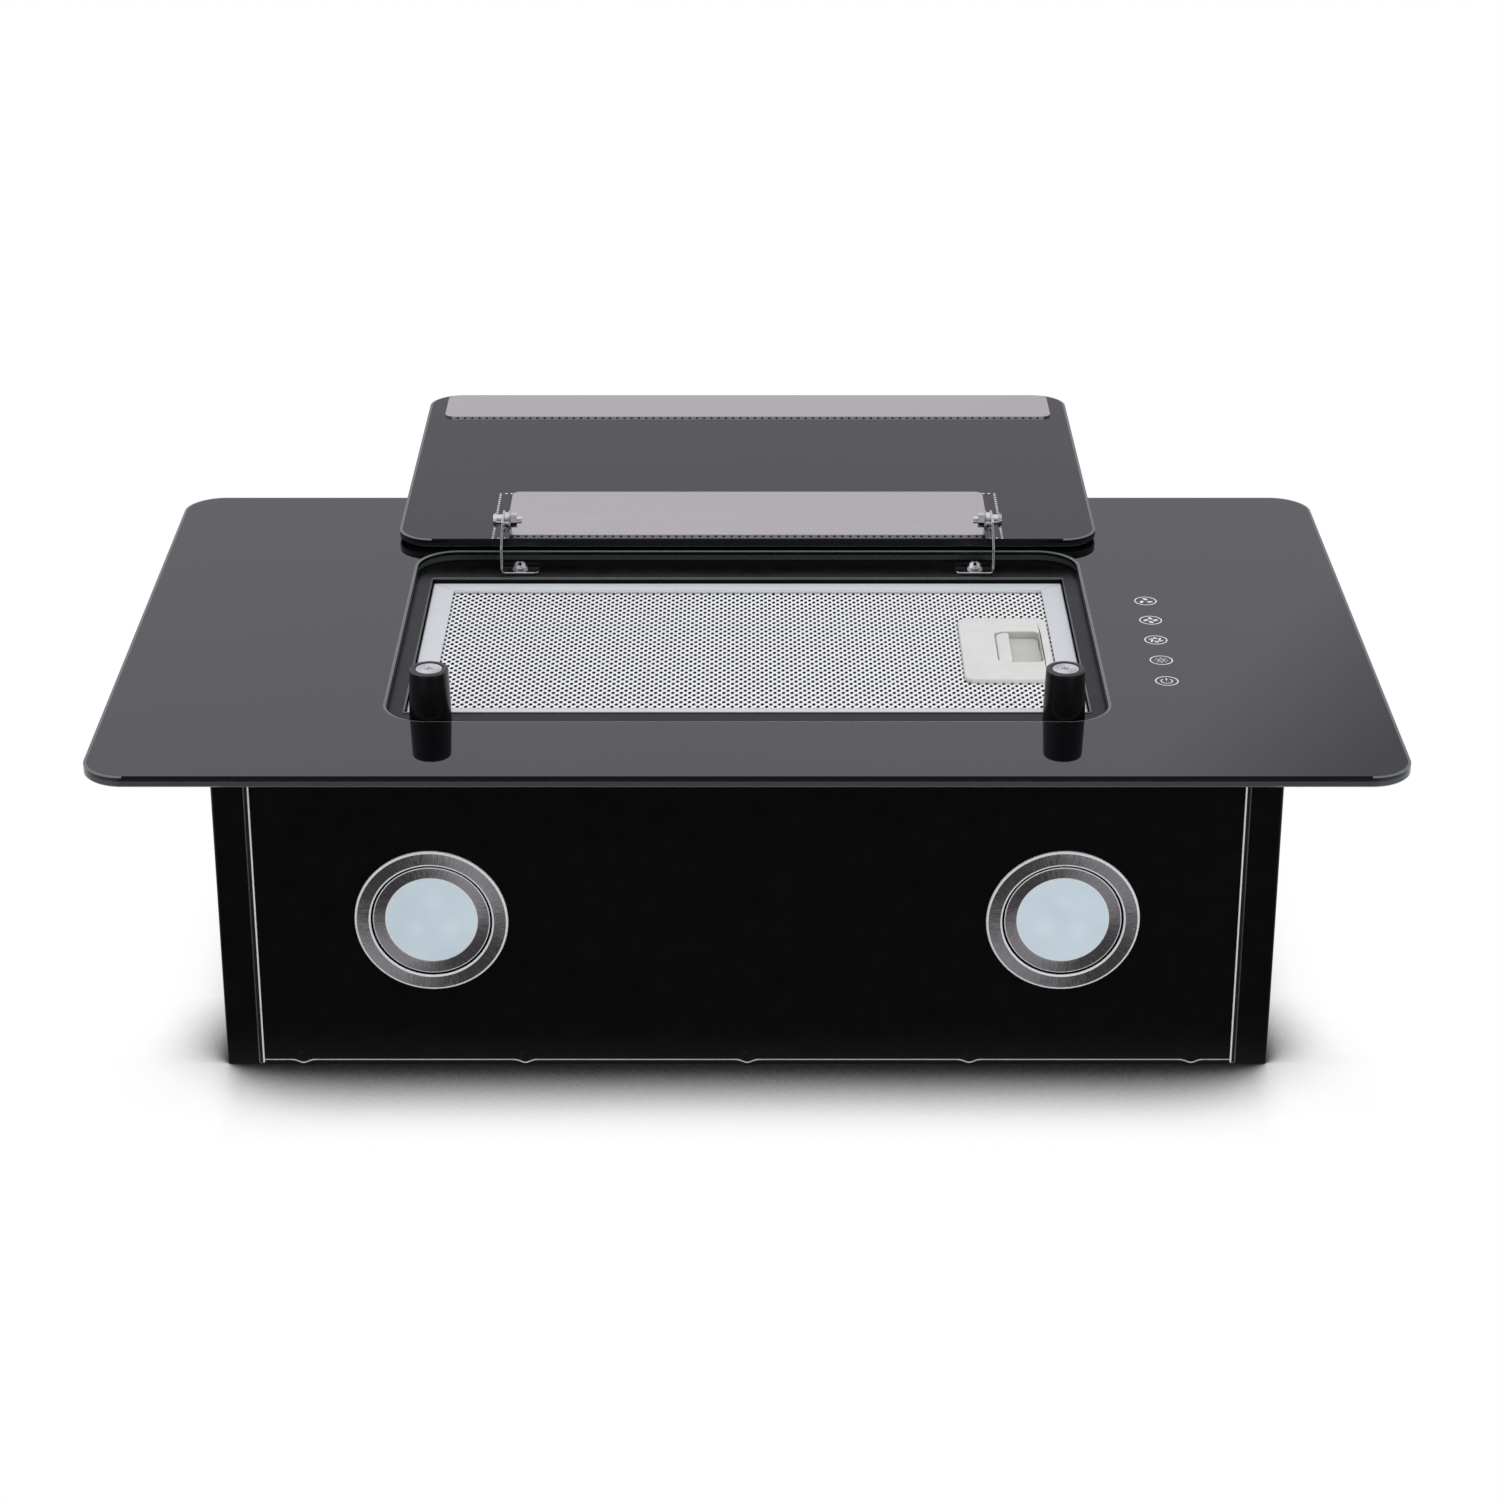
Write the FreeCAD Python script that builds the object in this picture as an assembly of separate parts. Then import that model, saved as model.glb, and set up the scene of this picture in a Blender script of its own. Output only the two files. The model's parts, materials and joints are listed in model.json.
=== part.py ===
"""Slim wall hood with a glass front, lying on its back with the filter flap open.

Millimetres. The wall face is Z = 0 and +Z points away from the wall. +Y points up the wall,
towards the duct, and +X is to the right. The origin is the middle of the wall face.
"""
import FreeCAD
import Part
import math
import os

V = FreeCAD.Vector
AXIS_X = V(1, 0, 0)
AXIS_Y = V(0, 1, 0)
AXIS_Z = V(0, 0, 1)
ORIGIN = V(0, 0, 0)

# Steel case
BODY_WIDTH = 486.0
BODY_HEIGHT = 335.0
BODY_DEPTH = 149.0
SHEET = 1.0
CASE_LIP = 13.0
SIDE_WRAP = 15.0
SEAM = 2.0
EDGE_RETURN = 14.0
BEND_RADIUS = 1.5
SEAM_EASE = 0.8
WALL_HOLE_RADIUS = 4.0
WALL_HOLE_SPACING_X = 430.0
WALL_HOLE_SPACING_Y = 280.0

# Front glass
GLASS_OVERHANG_X = 57.0
GLASS_OVERHANG_Y = 15.0
GLASS_THICK = 5.0
GLASS_CORNER = 20.0
GLASS_BEVEL = 0.7
CUT_CORNER = 20.0

# Filter recess in the steel front
RECESS_WIDTH = 322.6
RECESS_LENGTH = 173.0
RECESS_NEAR_Y = -98.2
LEDGE_SIDE = 7.7
LEDGE_NEAR = 20.7
LEDGE_FAR = 25.7
SEAT_LEDGE = 10.0
SEAT_FLANGE = 4.0

# Grease filter
FILTER_GAP = 0.8
FILTER_SINK = 2.3
FILTER_THICK = 9.0
FILTER_REST_GAP = 0.2
FRAME_SIDE = 10.8
FRAME_NEAR = 9.7
FRAME_FAR = 9.4
FRAME_LIP = 1.5
FRAME_BEVEL = 0.6
MESH_GRIP = 6.0
MESH_SHEET = 0.8
MESH_PLAY = 0.2

# Filter handle and latch
HANDLE_WIDTH = 44.2
HANDLE_LENGTH = 78.5
HANDLE_NEAR_Y = -53.0
HANDLE_RISE = 2.2
HANDLE_EDGE = 0.8
HANDLE_CORNER = 5.0
HANDLE_BEVEL = 0.6
SLOT_WIDTH = 22.0
SLOT_LENGTH = 40.0
SLOT_NEAR_Y = -31.5
SLOT_EDGE = 4.7
SLOT_CORNER = 4.0
CUP_WALL = 1.2
LATCH_WIDTH = 12.0
LATCH_THICK = 1.8
LATCH_LIP = 6.0
LATCH_SLOPE = 1.4
LATCH_PLAY = 0.3

# Rest posts
POST_TO_RECESS = 10.1
POST_INSET = 13.8
POST_FOOT_RADIUS = 9.9
POST_TOP_RADIUS = 9.0
POST_HEIGHT = 27.0
POST_EDGE = 0.8
MAGNET_RADIUS = 6.8
MAGNET_THICK = 2.0

# Flap and its hinge
FLAP_WIDTH = 363.0
FLAP_LENGTH = 236.1
FLAP_THICK = 4.0
FLAP_CORNER = 18.0
FLAP_BEVEL = 0.6
HINGE_TO_CUT = 7.7
HINGE_RISE = 14.5
HINGE_TO_FLAP = 8.8
FLAP_OVERHANG = 5.5
HINGE_PLATE_WIDTH = 247.0
HINGE_PLATE_LENGTH = 65.0
HINGE_PLATE_START = 0.7
HINGE_WING = 1.9
HINGE_WING_START = 8.0
HINGE_PLATE_CORNER = 4.0
STRIP_THICK = 1.0
EAR_RADIUS = 5.0
MAGNET_STRIP_WIDTH = 343.0
MAGNET_STRIP_LENGTH = 37.3
MAGNET_STRIP_EDGE = 4.6
STRIP_CORNER = 5.0
BOLT_RADIUS = 1.95
BOLT_HEAD_RADIUS = 4.2
BOLT_HEAD_HEIGHT = 1.8
PIVOT_PLAY = 0.05
WASHER_RADIUS = 4.0
WASHER_THICK = 1.9
NUT_RADIUS = 3.9
NUT_HEIGHT = 3.2
BOLT_TAIL = 2.4
SPACER_RADIUS = 2.9
SPACER_LENGTH = 3.2
END_PLAY = 0.1

# Hinge brackets
BRACKET_SHEET = 1.0
BRACKET_FOOT = 19.0
BRACKET_TO_RECESS = 5.7
BRACKET_DEPTH = 14.6
BRACKET_FOOT_CORNER = 2.5
SCREW_RADIUS = 2.0
SCREW_HEAD_RADIUS = 3.6
SCREW_HEAD_HEIGHT = 2.4
SCREW_LENGTH = 9.0
SCREW_PLAY = 0.1
HEAD_CROWN = 0.72
DRIVE_REACH = 0.5
DRIVE_WIDTH = 0.24

# Touch keys
KEY_X = 199.2
KEY_FIRST_Y = -71.7
KEY_PITCH = 25.7
KEY_COUNT = 5
KEY_PAD_RADIUS = 5.5
KEY_WINDOW_MARGIN = 3.0
TOUCH_BOARD_MARGIN = 5.0
TOUCH_BOARD_THICK = 1.6

# Lamps on the near face
LAMP_X = 145.0
LAMP_Z = 75.6
LAMP_RADIUS = 35.3
LAMP_STEP_RADIUS = 27.9
LAMP_GROOVE = 0.8
LAMP_LENS_RADIUS = 21.4
LAMP_FLANGE = 2.0
LAMP_STEP = 0.8
LAMP_BEVEL = 0.5
LAMP_CAN_RADIUS = 29.0
LAMP_CAN_DEPTH = 22.0
LAMP_CAN_WALL = 1.2
LAMP_LENS_THICK = 3.0
LAMP_BOARD_THICK = 1.6
LAMP_BOARD_DEPTH = 12.0
LAMP_PLAY = 0.3
CLIP_WIDTH = 8.0
CLIP_SPREAD = 5.0
CLIP_LENGTH = 12.0

# Blower scroll, whose outlet points up the wall
BLOWER_Y = -20.0
SCROLL_DEPTH = 88.0
SCROLL_WALL = 1.0
SCROLL_START_RADIUS = 95.0
SCROLL_GROWTH = 7.0
OUTLET_WIDTH = 97.0
INLET_RADIUS = 68.0
INLET_RIM = 6.0
FOOT_RADIUS = 5.0

# Impeller
WHEEL_RADIUS = 84.0
BLADE_INNER_RADIUS = 72.0
BLADE_COUNT = 36
BLADE_THICK = 1.0
BLADE_TILT = 28.0
WHEEL_RISE = 10.0
WHEEL_DEPTH = 72.0
WHEEL_PLATE = 1.5
DISH_RADIUS = 46.0
HUB_RADIUS = 9.0
HUB_HEIGHT = 12.0

# Motor inside the impeller
SHAFT_RADIUS = 4.0
RUNNING_PLAY = 0.05
BUSH_RADIUS = 5.0
BUSH_HEIGHT = 4.0
BUSH_CIRCLE = 47.0
MOTOR_FLANGE_RADIUS = 52.0
MOTOR_FLANGE = 2.0
MOTOR_RADIUS = 42.0
MOTOR_HEIGHT = 47.0
MOTOR_WALL = 1.5
BEARING_RADIUS = 11.0
BEARING_HEIGHT = 6.0
BEARING_SEAT = 2.0
STATOR_INNER_RADIUS = 26.0
STATOR_HEIGHT = 22.0
STATOR_RISE = 12.0
AIR_GAP = 0.5
SEAT_PLAY = 0.1
SHAFT_COLLAR_RADIUS = 6.0
SHAFT_COLLAR = 2.5
COLLAR_CLEARANCE = 1.5
SHAFT_NUT_RADIUS = 7.0
SHAFT_NUT_HEIGHT = 4.0
SHAFT_TIP = 1.5
SHAFT_VENT = 2.0

# Duct collar and damper leaves
DUCT_RISE = 12.0
DUCT_RADIUS = 60.0
DUCT_WALL = 1.5
DUCT_LENGTH = 46.0
DUCT_FLANGE_MARGIN = 4.0
DUCT_FLANGE = 1.5
DUCT_SCREW_INSET = 12.0
DUCT_SCREW_TO_LIP = 6.0
DUCT_SCREW_TO_RIM = 11.0
DUCT_SCREW_LENGTH = 8.0
LEAF_THICK = 1.5
LEAF_GAP = 1.5
LEAF_PIN_RADIUS = 1.6
LEAF_PIN_X = 3.6
LEAF_PIN_Y = 14.0
LEAF_PIN_END = 0.4

# Electrics
CONTROL_BOX_X = 118.0
CONTROL_BOX_WIDTH = 88.0
CONTROL_BOX_Y = 15.0
CONTROL_BOX_LENGTH = 100.0
CONTROL_BOX_DEPTH = 48.0
CONTROL_BOX_WALL = 1.6
CONTROL_BOARD_THICK = 1.6
CONTROL_BOARD_RISE = 8.0
CONTROL_BOARD_GAP = 4.0
CONTROL_POST_RADIUS = 3.5
DRIVER_X = 135.0
DRIVER_WIDTH = 75.0
DRIVER_Y = -80.0
DRIVER_LENGTH = 45.0
DRIVER_DEPTH = 26.0
DRIVER_CORNER = 4.0
CAPACITOR_X = 80.0
CAPACITOR_Y = 30.0
CAPACITOR_RADIUS = 16.0
CAPACITOR_LENGTH = 62.0
GLAND_X = 190.0
GLAND_Z = 84.0
GLAND_BORE = 4.0
GLAND_RADIUS = 8.0
GLAND_NUT_RADIUS = 11.0
GLAND_NUT = 6.0
GLAND_CAP_RADIUS = 10.0
GLAND_DOME = 11.0
GLAND_TAIL = 9.0

# Small fasteners
RIVET_PITCH = 103.7
RIVET_COUNT = 5
RIVET_RADIUS = 2.0
RIVET_HEAD_RADIUS = 3.0
RIVET_HEAD_HEIGHT = 1.1
RIVET_TAIL = 2.0
RIVET_Z = 4.0
CASE_SCREW_PITCH = 120.0
CASE_SCREW_DROP = 7.0
CASE_SCREW_LENGTH = 7.0

# Places that follow from the sizes above
BODY_X = BODY_WIDTH / 2
BODY_Y = BODY_HEIGHT / 2
INNER_X = BODY_X - SHEET
INNER_Y = BODY_Y - SHEET
PLATE_BACK_Z = BODY_DEPTH - SHEET
GLASS_TOP_Z = BODY_DEPTH + GLASS_THICK
FACE_PANEL_X = BODY_X - SIDE_WRAP - SEAM
LIP_TOP_Z = SHEET + CASE_LIP
LIP_BOTTOM_Z = PLATE_BACK_Z - CASE_LIP
GLASS_X = BODY_X + GLASS_OVERHANG_X
GLASS_Y = BODY_Y + GLASS_OVERHANG_Y
RECESS_X = RECESS_WIDTH / 2
RECESS_FAR_Y = RECESS_NEAR_Y + RECESS_LENGTH
CUT_X = RECESS_X + LEDGE_SIDE
CUT_NEAR_Y = RECESS_NEAR_Y - LEDGE_NEAR
CUT_FAR_Y = RECESS_FAR_Y + LEDGE_FAR
FILTER_TOP_Z = BODY_DEPTH - FILTER_SINK
FILTER_BACK_Z = FILTER_TOP_Z - FILTER_THICK
SEAT_TOP_Z = FILTER_BACK_Z - FILTER_REST_GAP
FILTER_X = RECESS_X - FILTER_GAP
FILTER_NEAR_Y = RECESS_NEAR_Y + FILTER_GAP
FILTER_FAR_Y = RECESS_FAR_Y - FILTER_GAP
MESH_X = FILTER_X - FRAME_SIDE
MESH_NEAR_Y = FILTER_NEAR_Y + FRAME_NEAR
MESH_FAR_Y = FILTER_FAR_Y - FRAME_FAR
MESH_TOP_Z = FILTER_TOP_Z - FRAME_LIP - MESH_PLAY
MESH_BACK_Z = FILTER_BACK_Z + FRAME_LIP + MESH_PLAY
HANDLE_RIGHT_X = MESH_X - HANDLE_EDGE
HANDLE_LEFT_X = HANDLE_RIGHT_X - HANDLE_WIDTH
SLOT_RIGHT_X = HANDLE_RIGHT_X - SLOT_EDGE
SLOT_LEFT_X = SLOT_RIGHT_X - SLOT_WIDTH
SLOT_FAR_Y = SLOT_NEAR_Y + SLOT_LENGTH
SLOT_MID_Y = SLOT_NEAR_Y + SLOT_LENGTH / 2
CUP_FLOOR_Z = MESH_BACK_Z + CUP_WALL
LATCH_Z = CUP_FLOOR_Z + LATCH_PLAY
POST_X = RECESS_X - POST_INSET
POST_Y = RECESS_NEAR_Y - POST_TO_RECESS
POST_TOP_Z = BODY_DEPTH + POST_HEIGHT
HINGE_Y = CUT_FAR_Y + HINGE_TO_CUT
HINGE_Z = GLASS_TOP_Z + HINGE_RISE
BRACKET_NEAR_Y = RECESS_FAR_Y + BRACKET_TO_RECESS
BRACKET_FAR_Y = BRACKET_NEAR_Y + BRACKET_DEPTH
FLAP_NEAR_Y = HINGE_Y - FLAP_OVERHANG
FLAP_FAR_Y = FLAP_NEAR_Y + FLAP_LENGTH
FLAP_INNER_Z = HINGE_Z - HINGE_TO_FLAP
STRIP_TOP_Z = FLAP_INNER_Z + STRIP_THICK
EAR_X = HINGE_PLATE_WIDTH / 2
ARM_INNER_X = EAR_X + WASHER_THICK + END_PLAY
ARM_OUTER_X = ARM_INNER_X + BRACKET_SHEET
BLOWER_X = OUTLET_WIDTH / 2 - SCROLL_START_RADIUS - 2.5 * SCROLL_GROWTH
DUCT_Z = DUCT_RISE + DUCT_RADIUS
DUCT_SCREW_LOW_Z = LIP_TOP_Z + DUCT_SCREW_TO_LIP
DUCT_SCREW_HIGH_Z = LIP_BOTTOM_Z - DUCT_SCREW_TO_RIM
SCROLL_BASE_Z = DUCT_Z - SCROLL_DEPTH / 2
SCROLL_TOP_Z = SCROLL_BASE_Z + SCROLL_DEPTH
MOTOR_FLANGE_Z = SCROLL_BASE_Z + SCROLL_WALL + BUSH_HEIGHT
MOTOR_Z = MOTOR_FLANGE_Z + MOTOR_FLANGE
MOTOR_TOP_Z = MOTOR_Z + MOTOR_HEIGHT
HUB_Z = MOTOR_TOP_Z + COLLAR_CLEARANCE + SHAFT_COLLAR
HUB_TOP_Z = HUB_Z + HUB_HEIGHT
SHAFT_BOTTOM_Z = MOTOR_Z - MOTOR_FLANGE / 2
WHEEL_Z = SCROLL_BASE_Z + WHEEL_RISE
LEAF_Y = BODY_Y + LEAF_PIN_Y
SIDES = (("left", -1), ("right", 1))


def box(x0, x1, y0, y1, z0, z1):
    """Block between two corners."""
    return Part.makeBox(x1 - x0, y1 - y0, z1 - z0, V(x0, y0, z0))


def rod(start, direction, radius, length):
    """Solid cylinder from a point along a direction."""
    return Part.makeCylinder(radius, length, start, direction)


def ring(start, direction, outer, inner, length):
    """Cylinder with a hole through it."""
    return rod(start, direction, outer, length).cut(rod(start, direction, inner, length))


def plate(x0, x1, y0, y1, z0, z1, corner):
    """Flat plate with four round corners."""
    inset = corner * (1 - math.sqrt(0.5))
    corners = ((x0, y0, 1, 1), (x1, y0, -1, 1), (x1, y1, -1, -1), (x0, y1, 1, -1))
    edges = []
    previous = V(x0, y1 - corner, z0)
    for x, y, to_x, to_y in corners:
        along_x = V(x + to_x * corner, y, z0)
        along_y = V(x, y + to_y * corner, z0)
        middle = V(x + to_x * inset, y + to_y * inset, z0)
        first, last = (along_y, along_x) if to_x == to_y else (along_x, along_y)
        edges.append(Part.LineSegment(previous, first).toShape())
        edges.append(Part.Arc(first, middle, last).toShape())
        previous = last
    return Part.Face(Part.Wire(edges)).extrude(V(0, 0, z1 - z0))


def beveled(shape, bevel, levels):
    """Break every edge that lies flat at one of the given heights."""
    edges = []
    for edge in shape.Edges:
        low, high = edge.BoundBox.ZMin, edge.BoundBox.ZMax
        if high - low < 1e-6 and any(abs(low - level) < 1e-6 for level in levels):
            edges.append(edge)
    return shape.makeChamfer(bevel, edges)


def joined(shapes):
    """One solid from pieces that touch or overlap."""
    return shapes[0].multiFuse(shapes[1:]).removeSplitter()


def on_side(shape, side):
    """The shape for the right side, or its mirror image for the left."""
    return shape if side > 0 else shape.mirror(ORIGIN, AXIS_X)


def both_sides(shape):
    """A group of the right-hand shape and its mirror image."""
    return Part.makeCompound([shape, on_side(shape, -1)])


def hexagon(start, direction, radius, length):
    """Six-sided prism with the given corner radius, along X or Z."""
    across = AXIS_Y
    points = []
    for step in range(7):
        turn = FreeCAD.Rotation(direction, 60 * (step % 6))
        points.append(start + turn.multVec(across) * radius)
    return Part.Face(Part.makePolygon(points)).extrude(direction * length)


def screw(seat, direction, radius, head_radius, head_height, length):
    """Pan-head screw: the head stands on its seat and the shank goes the other way."""
    head = Part.makeCone(head_radius, head_radius * HEAD_CROWN, head_height, seat, direction)
    arm = head_radius * DRIVE_REACH
    half = head_radius * DRIVE_WIDTH / 2
    slots = [box(-arm, arm, -half, half, 0, head_height), box(-half, half, -arm, arm, 0, head_height)]
    drive = joined(slots)
    turn = FreeCAD.Rotation(AXIS_Z, direction)
    drive.Placement = FreeCAD.Placement(seat + direction * (head_height / 2), turn)
    return joined([head.cut(drive), rod(seat, direction * -1, radius, length)])


def case_screw(seat, direction, length):
    """Screw of the one size that the case, collar, posts and brackets share."""
    return screw(seat, direction, SCREW_RADIUS, SCREW_HEAD_RADIUS, SCREW_HEAD_HEIGHT, length)


def save(name, shape):
    """Write one sub-part."""
    shape.exportStep(os.path.join("parts", name + ".step"))


def eased_uprights(shape, radius, places):
    """Round the upright edges that stand at the given X and Y places."""
    edges = []
    for edge in shape.Edges:
        bounds = edge.BoundBox
        upright = bounds.ZLength > CASE_LIP and bounds.XLength < 1e-6 and bounds.YLength < 1e-6
        if upright and any(abs(bounds.XMin - x) < 1e-6 and abs(bounds.YMin - y) < 1e-6 for x, y in places):
            edges.append(edge)
    return shape.makeFillet(radius, edges)


def rivet_places():
    """X of each rivet along the lower edge of a face panel."""
    return [(index - (RIVET_COUNT - 1) / 2) * RIVET_PITCH for index in range(RIVET_COUNT)]


def rivet_holes():
    """Drills for the rivets through both face panels and the tray lips behind them."""
    hole = SCREW_PLAY + RIVET_RADIUS
    return [rod(V(x, -BODY_Y, RIVET_Z), AXIS_Y, hole, BODY_HEIGHT) for x in rivet_places()]


def case_screw_places():
    """Y of each screw that holds a side panel to the front plate."""
    return [-CASE_SCREW_PITCH, 0, CASE_SCREW_PITCH]


def case_screw_holes():
    """Drills for the case screws through both side panels and the front plate's flange."""
    z = PLATE_BACK_Z - CASE_SCREW_DROP
    hole = SCREW_PLAY + SCREW_RADIUS
    return [rod(V(-BODY_X, y, z), AXIS_X, hole, BODY_WIDTH) for y in case_screw_places()]


def back_plate():
    """Shallow tray against the wall, with four holes for the wall screws."""
    tray = box(-INNER_X, INNER_X, -INNER_Y, INNER_Y, 0, LIP_TOP_Z)
    hollow_x = INNER_X - SHEET
    hollow_y = INNER_Y - SHEET
    cuts = [box(-hollow_x, hollow_x, -hollow_y, hollow_y, SHEET, LIP_TOP_Z)]
    for x in (-WALL_HOLE_SPACING_X / 2, WALL_HOLE_SPACING_X / 2):
        for y in (-WALL_HOLE_SPACING_Y / 2, WALL_HOLE_SPACING_Y / 2):
            cuts.append(rod(V(x, y, 0), AXIS_Z, WALL_HOLE_RADIUS, SHEET))
    return tray.cut(cuts + rivet_holes())


def side_panel():
    """Right side of the case: a sheet whose two edges wrap onto the near and far faces."""
    wrap_x = BODY_X - SIDE_WRAP
    pieces = [box(INNER_X, BODY_X, -BODY_Y, BODY_Y, 0, PLATE_BACK_Z)]
    for face in (-1, 1):
        outer, inner = sorted((face * BODY_Y, face * INNER_Y))
        pieces.append(box(wrap_x, BODY_X, outer, inner, 0, PLATE_BACK_Z))
        start, end = sorted((face * INNER_Y, face * (INNER_Y - EDGE_RETURN)))
        pieces.append(box(wrap_x, wrap_x + SHEET, start, end, LIP_TOP_Z, LIP_BOTTOM_Z))
    panel = joined(pieces).cut(case_screw_holes())
    panel = eased_uprights(panel, BEND_RADIUS, [(BODY_X, -BODY_Y), (BODY_X, BODY_Y)])
    return eased_uprights(panel, SEAM_EASE, [(wrap_x, -BODY_Y), (wrap_x, BODY_Y)])


def face_panel():
    """Near face of the case, with both upright edges bent back inside."""
    pieces = [box(-FACE_PANEL_X, FACE_PANEL_X, -BODY_Y, -INNER_Y, 0, PLATE_BACK_Z)]
    edge = box(FACE_PANEL_X - SHEET, FACE_PANEL_X, -INNER_Y, EDGE_RETURN - INNER_Y, LIP_TOP_Z, LIP_BOTTOM_Z)
    pieces += [edge, on_side(edge, -1)]
    panel = joined(pieces).cut(rivet_holes())
    return eased_uprights(panel, SEAM_EASE, [(-FACE_PANEL_X, -BODY_Y), (FACE_PANEL_X, -BODY_Y)])


def light_panel():
    """Near face with the two lamp holes."""
    hole = rod(lamp_place(0), AXIS_Y, LAMP_CAN_RADIUS + LAMP_PLAY, SHEET)
    return face_panel().cut([hole, on_side(hole, -1)])


def duct_screw_places():
    """X and Z of the four screws at the corners of the collar's flange."""
    reach = DUCT_RADIUS + DUCT_FLANGE_MARGIN - DUCT_SCREW_INSET
    return [(x, z) for x in (-reach, reach) for z in (DUCT_SCREW_LOW_Z, DUCT_SCREW_HIGH_Z)]


def top_panel():
    """Far face with the duct hole, the collar's screw holes and the gland hole."""
    panel = face_panel().mirror(ORIGIN, AXIS_Y)
    holes = [rod(V(0, INNER_Y, DUCT_Z), AXIS_Y, DUCT_RADIUS - DUCT_WALL, SHEET)]
    holes.append(rod(V(GLAND_X, INNER_Y, GLAND_Z), AXIS_Y, GLAND_RADIUS + SEAT_PLAY, SHEET))
    for x, z in duct_screw_places():
        holes.append(rod(V(x, INNER_Y, z), AXIS_Y, SCREW_RADIUS + SCREW_PLAY, SHEET))
    return panel.cut(holes)


def key_places():
    """Y of each touch key, from the near one to the far one."""
    return [KEY_FIRST_Y + index * KEY_PITCH for index in range(KEY_COUNT)]


def key_area(margin, z0, z1):
    """Block around all the touch pads with a margin."""
    reach = KEY_PAD_RADIUS + margin
    keys = key_places()
    return box(KEY_X - reach, KEY_X + reach, keys[0] - reach, keys[-1] + reach, z0, z1)


def bracket_screw_place():
    """Seat of the right bracket's screw, on its foot."""
    x = ARM_OUTER_X - BRACKET_FOOT / 2
    y = (BRACKET_NEAR_Y + BRACKET_FAR_Y) / 2
    return V(x, y, BODY_DEPTH + BRACKET_SHEET)


def front_plate():
    """Steel front under the glass, with a folded rim, the filter recess and the key window."""
    sheet = box(-BODY_X, BODY_X, -BODY_Y, BODY_Y, PLATE_BACK_Z, BODY_DEPTH)
    rim = box(-INNER_X, INNER_X, -INNER_Y, INNER_Y, LIP_BOTTOM_Z, PLATE_BACK_Z)
    rim_x = INNER_X - SHEET
    rim_y = INNER_Y - SHEET
    rim = rim.cut(box(-rim_x, rim_x, -rim_y, rim_y, LIP_BOTTOM_Z, PLATE_BACK_Z))
    cuts = [box(-RECESS_X, RECESS_X, RECESS_NEAR_Y, RECESS_FAR_Y, PLATE_BACK_Z, BODY_DEPTH)]
    cuts.append(key_area(KEY_WINDOW_MARGIN, PLATE_BACK_Z, BODY_DEPTH))
    seat = bracket_screw_place()
    for _, side in SIDES:
        for x, y in ((POST_X, POST_Y), (seat.x, seat.y)):
            start = V(side * x, y, PLATE_BACK_Z)
            cuts.append(rod(start, AXIS_Z, SCREW_RADIUS + SCREW_PLAY, SHEET))
    return joined([sheet, rim]).cut(cuts + case_screw_holes())


def latch_channel(play, x0, x1):
    """Block that the latch tongue runs in, from one X to another."""
    reach = LATCH_WIDTH / 2 + play
    return box(x0, x1, SLOT_MID_Y - reach, SLOT_MID_Y + reach, LATCH_Z - play, LATCH_Z + LATCH_THICK + play)


def filter_seat():
    """Pressed frame under the front plate that the filter drops into."""
    wall_x = RECESS_X + SHEET
    near = RECESS_NEAR_Y - SHEET
    far = RECESS_FAR_Y + SHEET
    back = SEAT_TOP_Z - SHEET
    walls = box(-wall_x, wall_x, near, far, back, PLATE_BACK_Z)
    flange = box(-wall_x - SEAT_FLANGE, wall_x + SEAT_FLANGE, near - SEAT_FLANGE, far + SEAT_FLANGE,
                 PLATE_BACK_Z - SHEET, PLATE_BACK_Z)
    hollow = box(-RECESS_X, RECESS_X, RECESS_NEAR_Y, RECESS_FAR_Y, SEAT_TOP_Z, PLATE_BACK_Z)
    opening = box(-RECESS_X + SEAT_LEDGE, RECESS_X - SEAT_LEDGE, RECESS_NEAR_Y + SEAT_LEDGE,
                  RECESS_FAR_Y - SEAT_LEDGE, back, SEAT_TOP_Z)
    keeper = latch_channel(2 * LATCH_PLAY, RECESS_X, wall_x)
    return joined([walls, flange]).cut([hollow, opening, keeper])


def glass_panel():
    """Front glass with round corners, a cut-out over the filter and ground edges."""
    sheet = plate(-GLASS_X, GLASS_X, -GLASS_Y, GLASS_Y, BODY_DEPTH, GLASS_TOP_Z, GLASS_CORNER)
    sheet = sheet.cut(plate(-CUT_X, CUT_X, CUT_NEAR_Y, CUT_FAR_Y, BODY_DEPTH, GLASS_TOP_Z, CUT_CORNER))
    return beveled(sheet, GLASS_BEVEL, (BODY_DEPTH, GLASS_TOP_Z))


def rest_post():
    """Tapered post on the right that the closed flap rests on, with a pocket for its magnet."""
    foot = V(POST_X, POST_Y, BODY_DEPTH)
    post = Part.makeCone(POST_FOOT_RADIUS, POST_TOP_RADIUS, POST_HEIGHT, foot, AXIS_Z)
    rim = [edge for edge in post.Edges if edge.Closed and abs(edge.CenterOfMass.z - POST_TOP_Z) < 1e-6]
    post = post.makeFillet(POST_EDGE, rim)
    floor = V(POST_X, POST_Y, POST_TOP_Z - MAGNET_THICK)
    pocket = rod(floor, AXIS_Z, MAGNET_RADIUS + SEAT_PLAY, MAGNET_THICK)
    return post.cut([pocket, rod(foot, AXIS_Z, SCREW_RADIUS + SCREW_PLAY, SCREW_LENGTH)])


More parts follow.
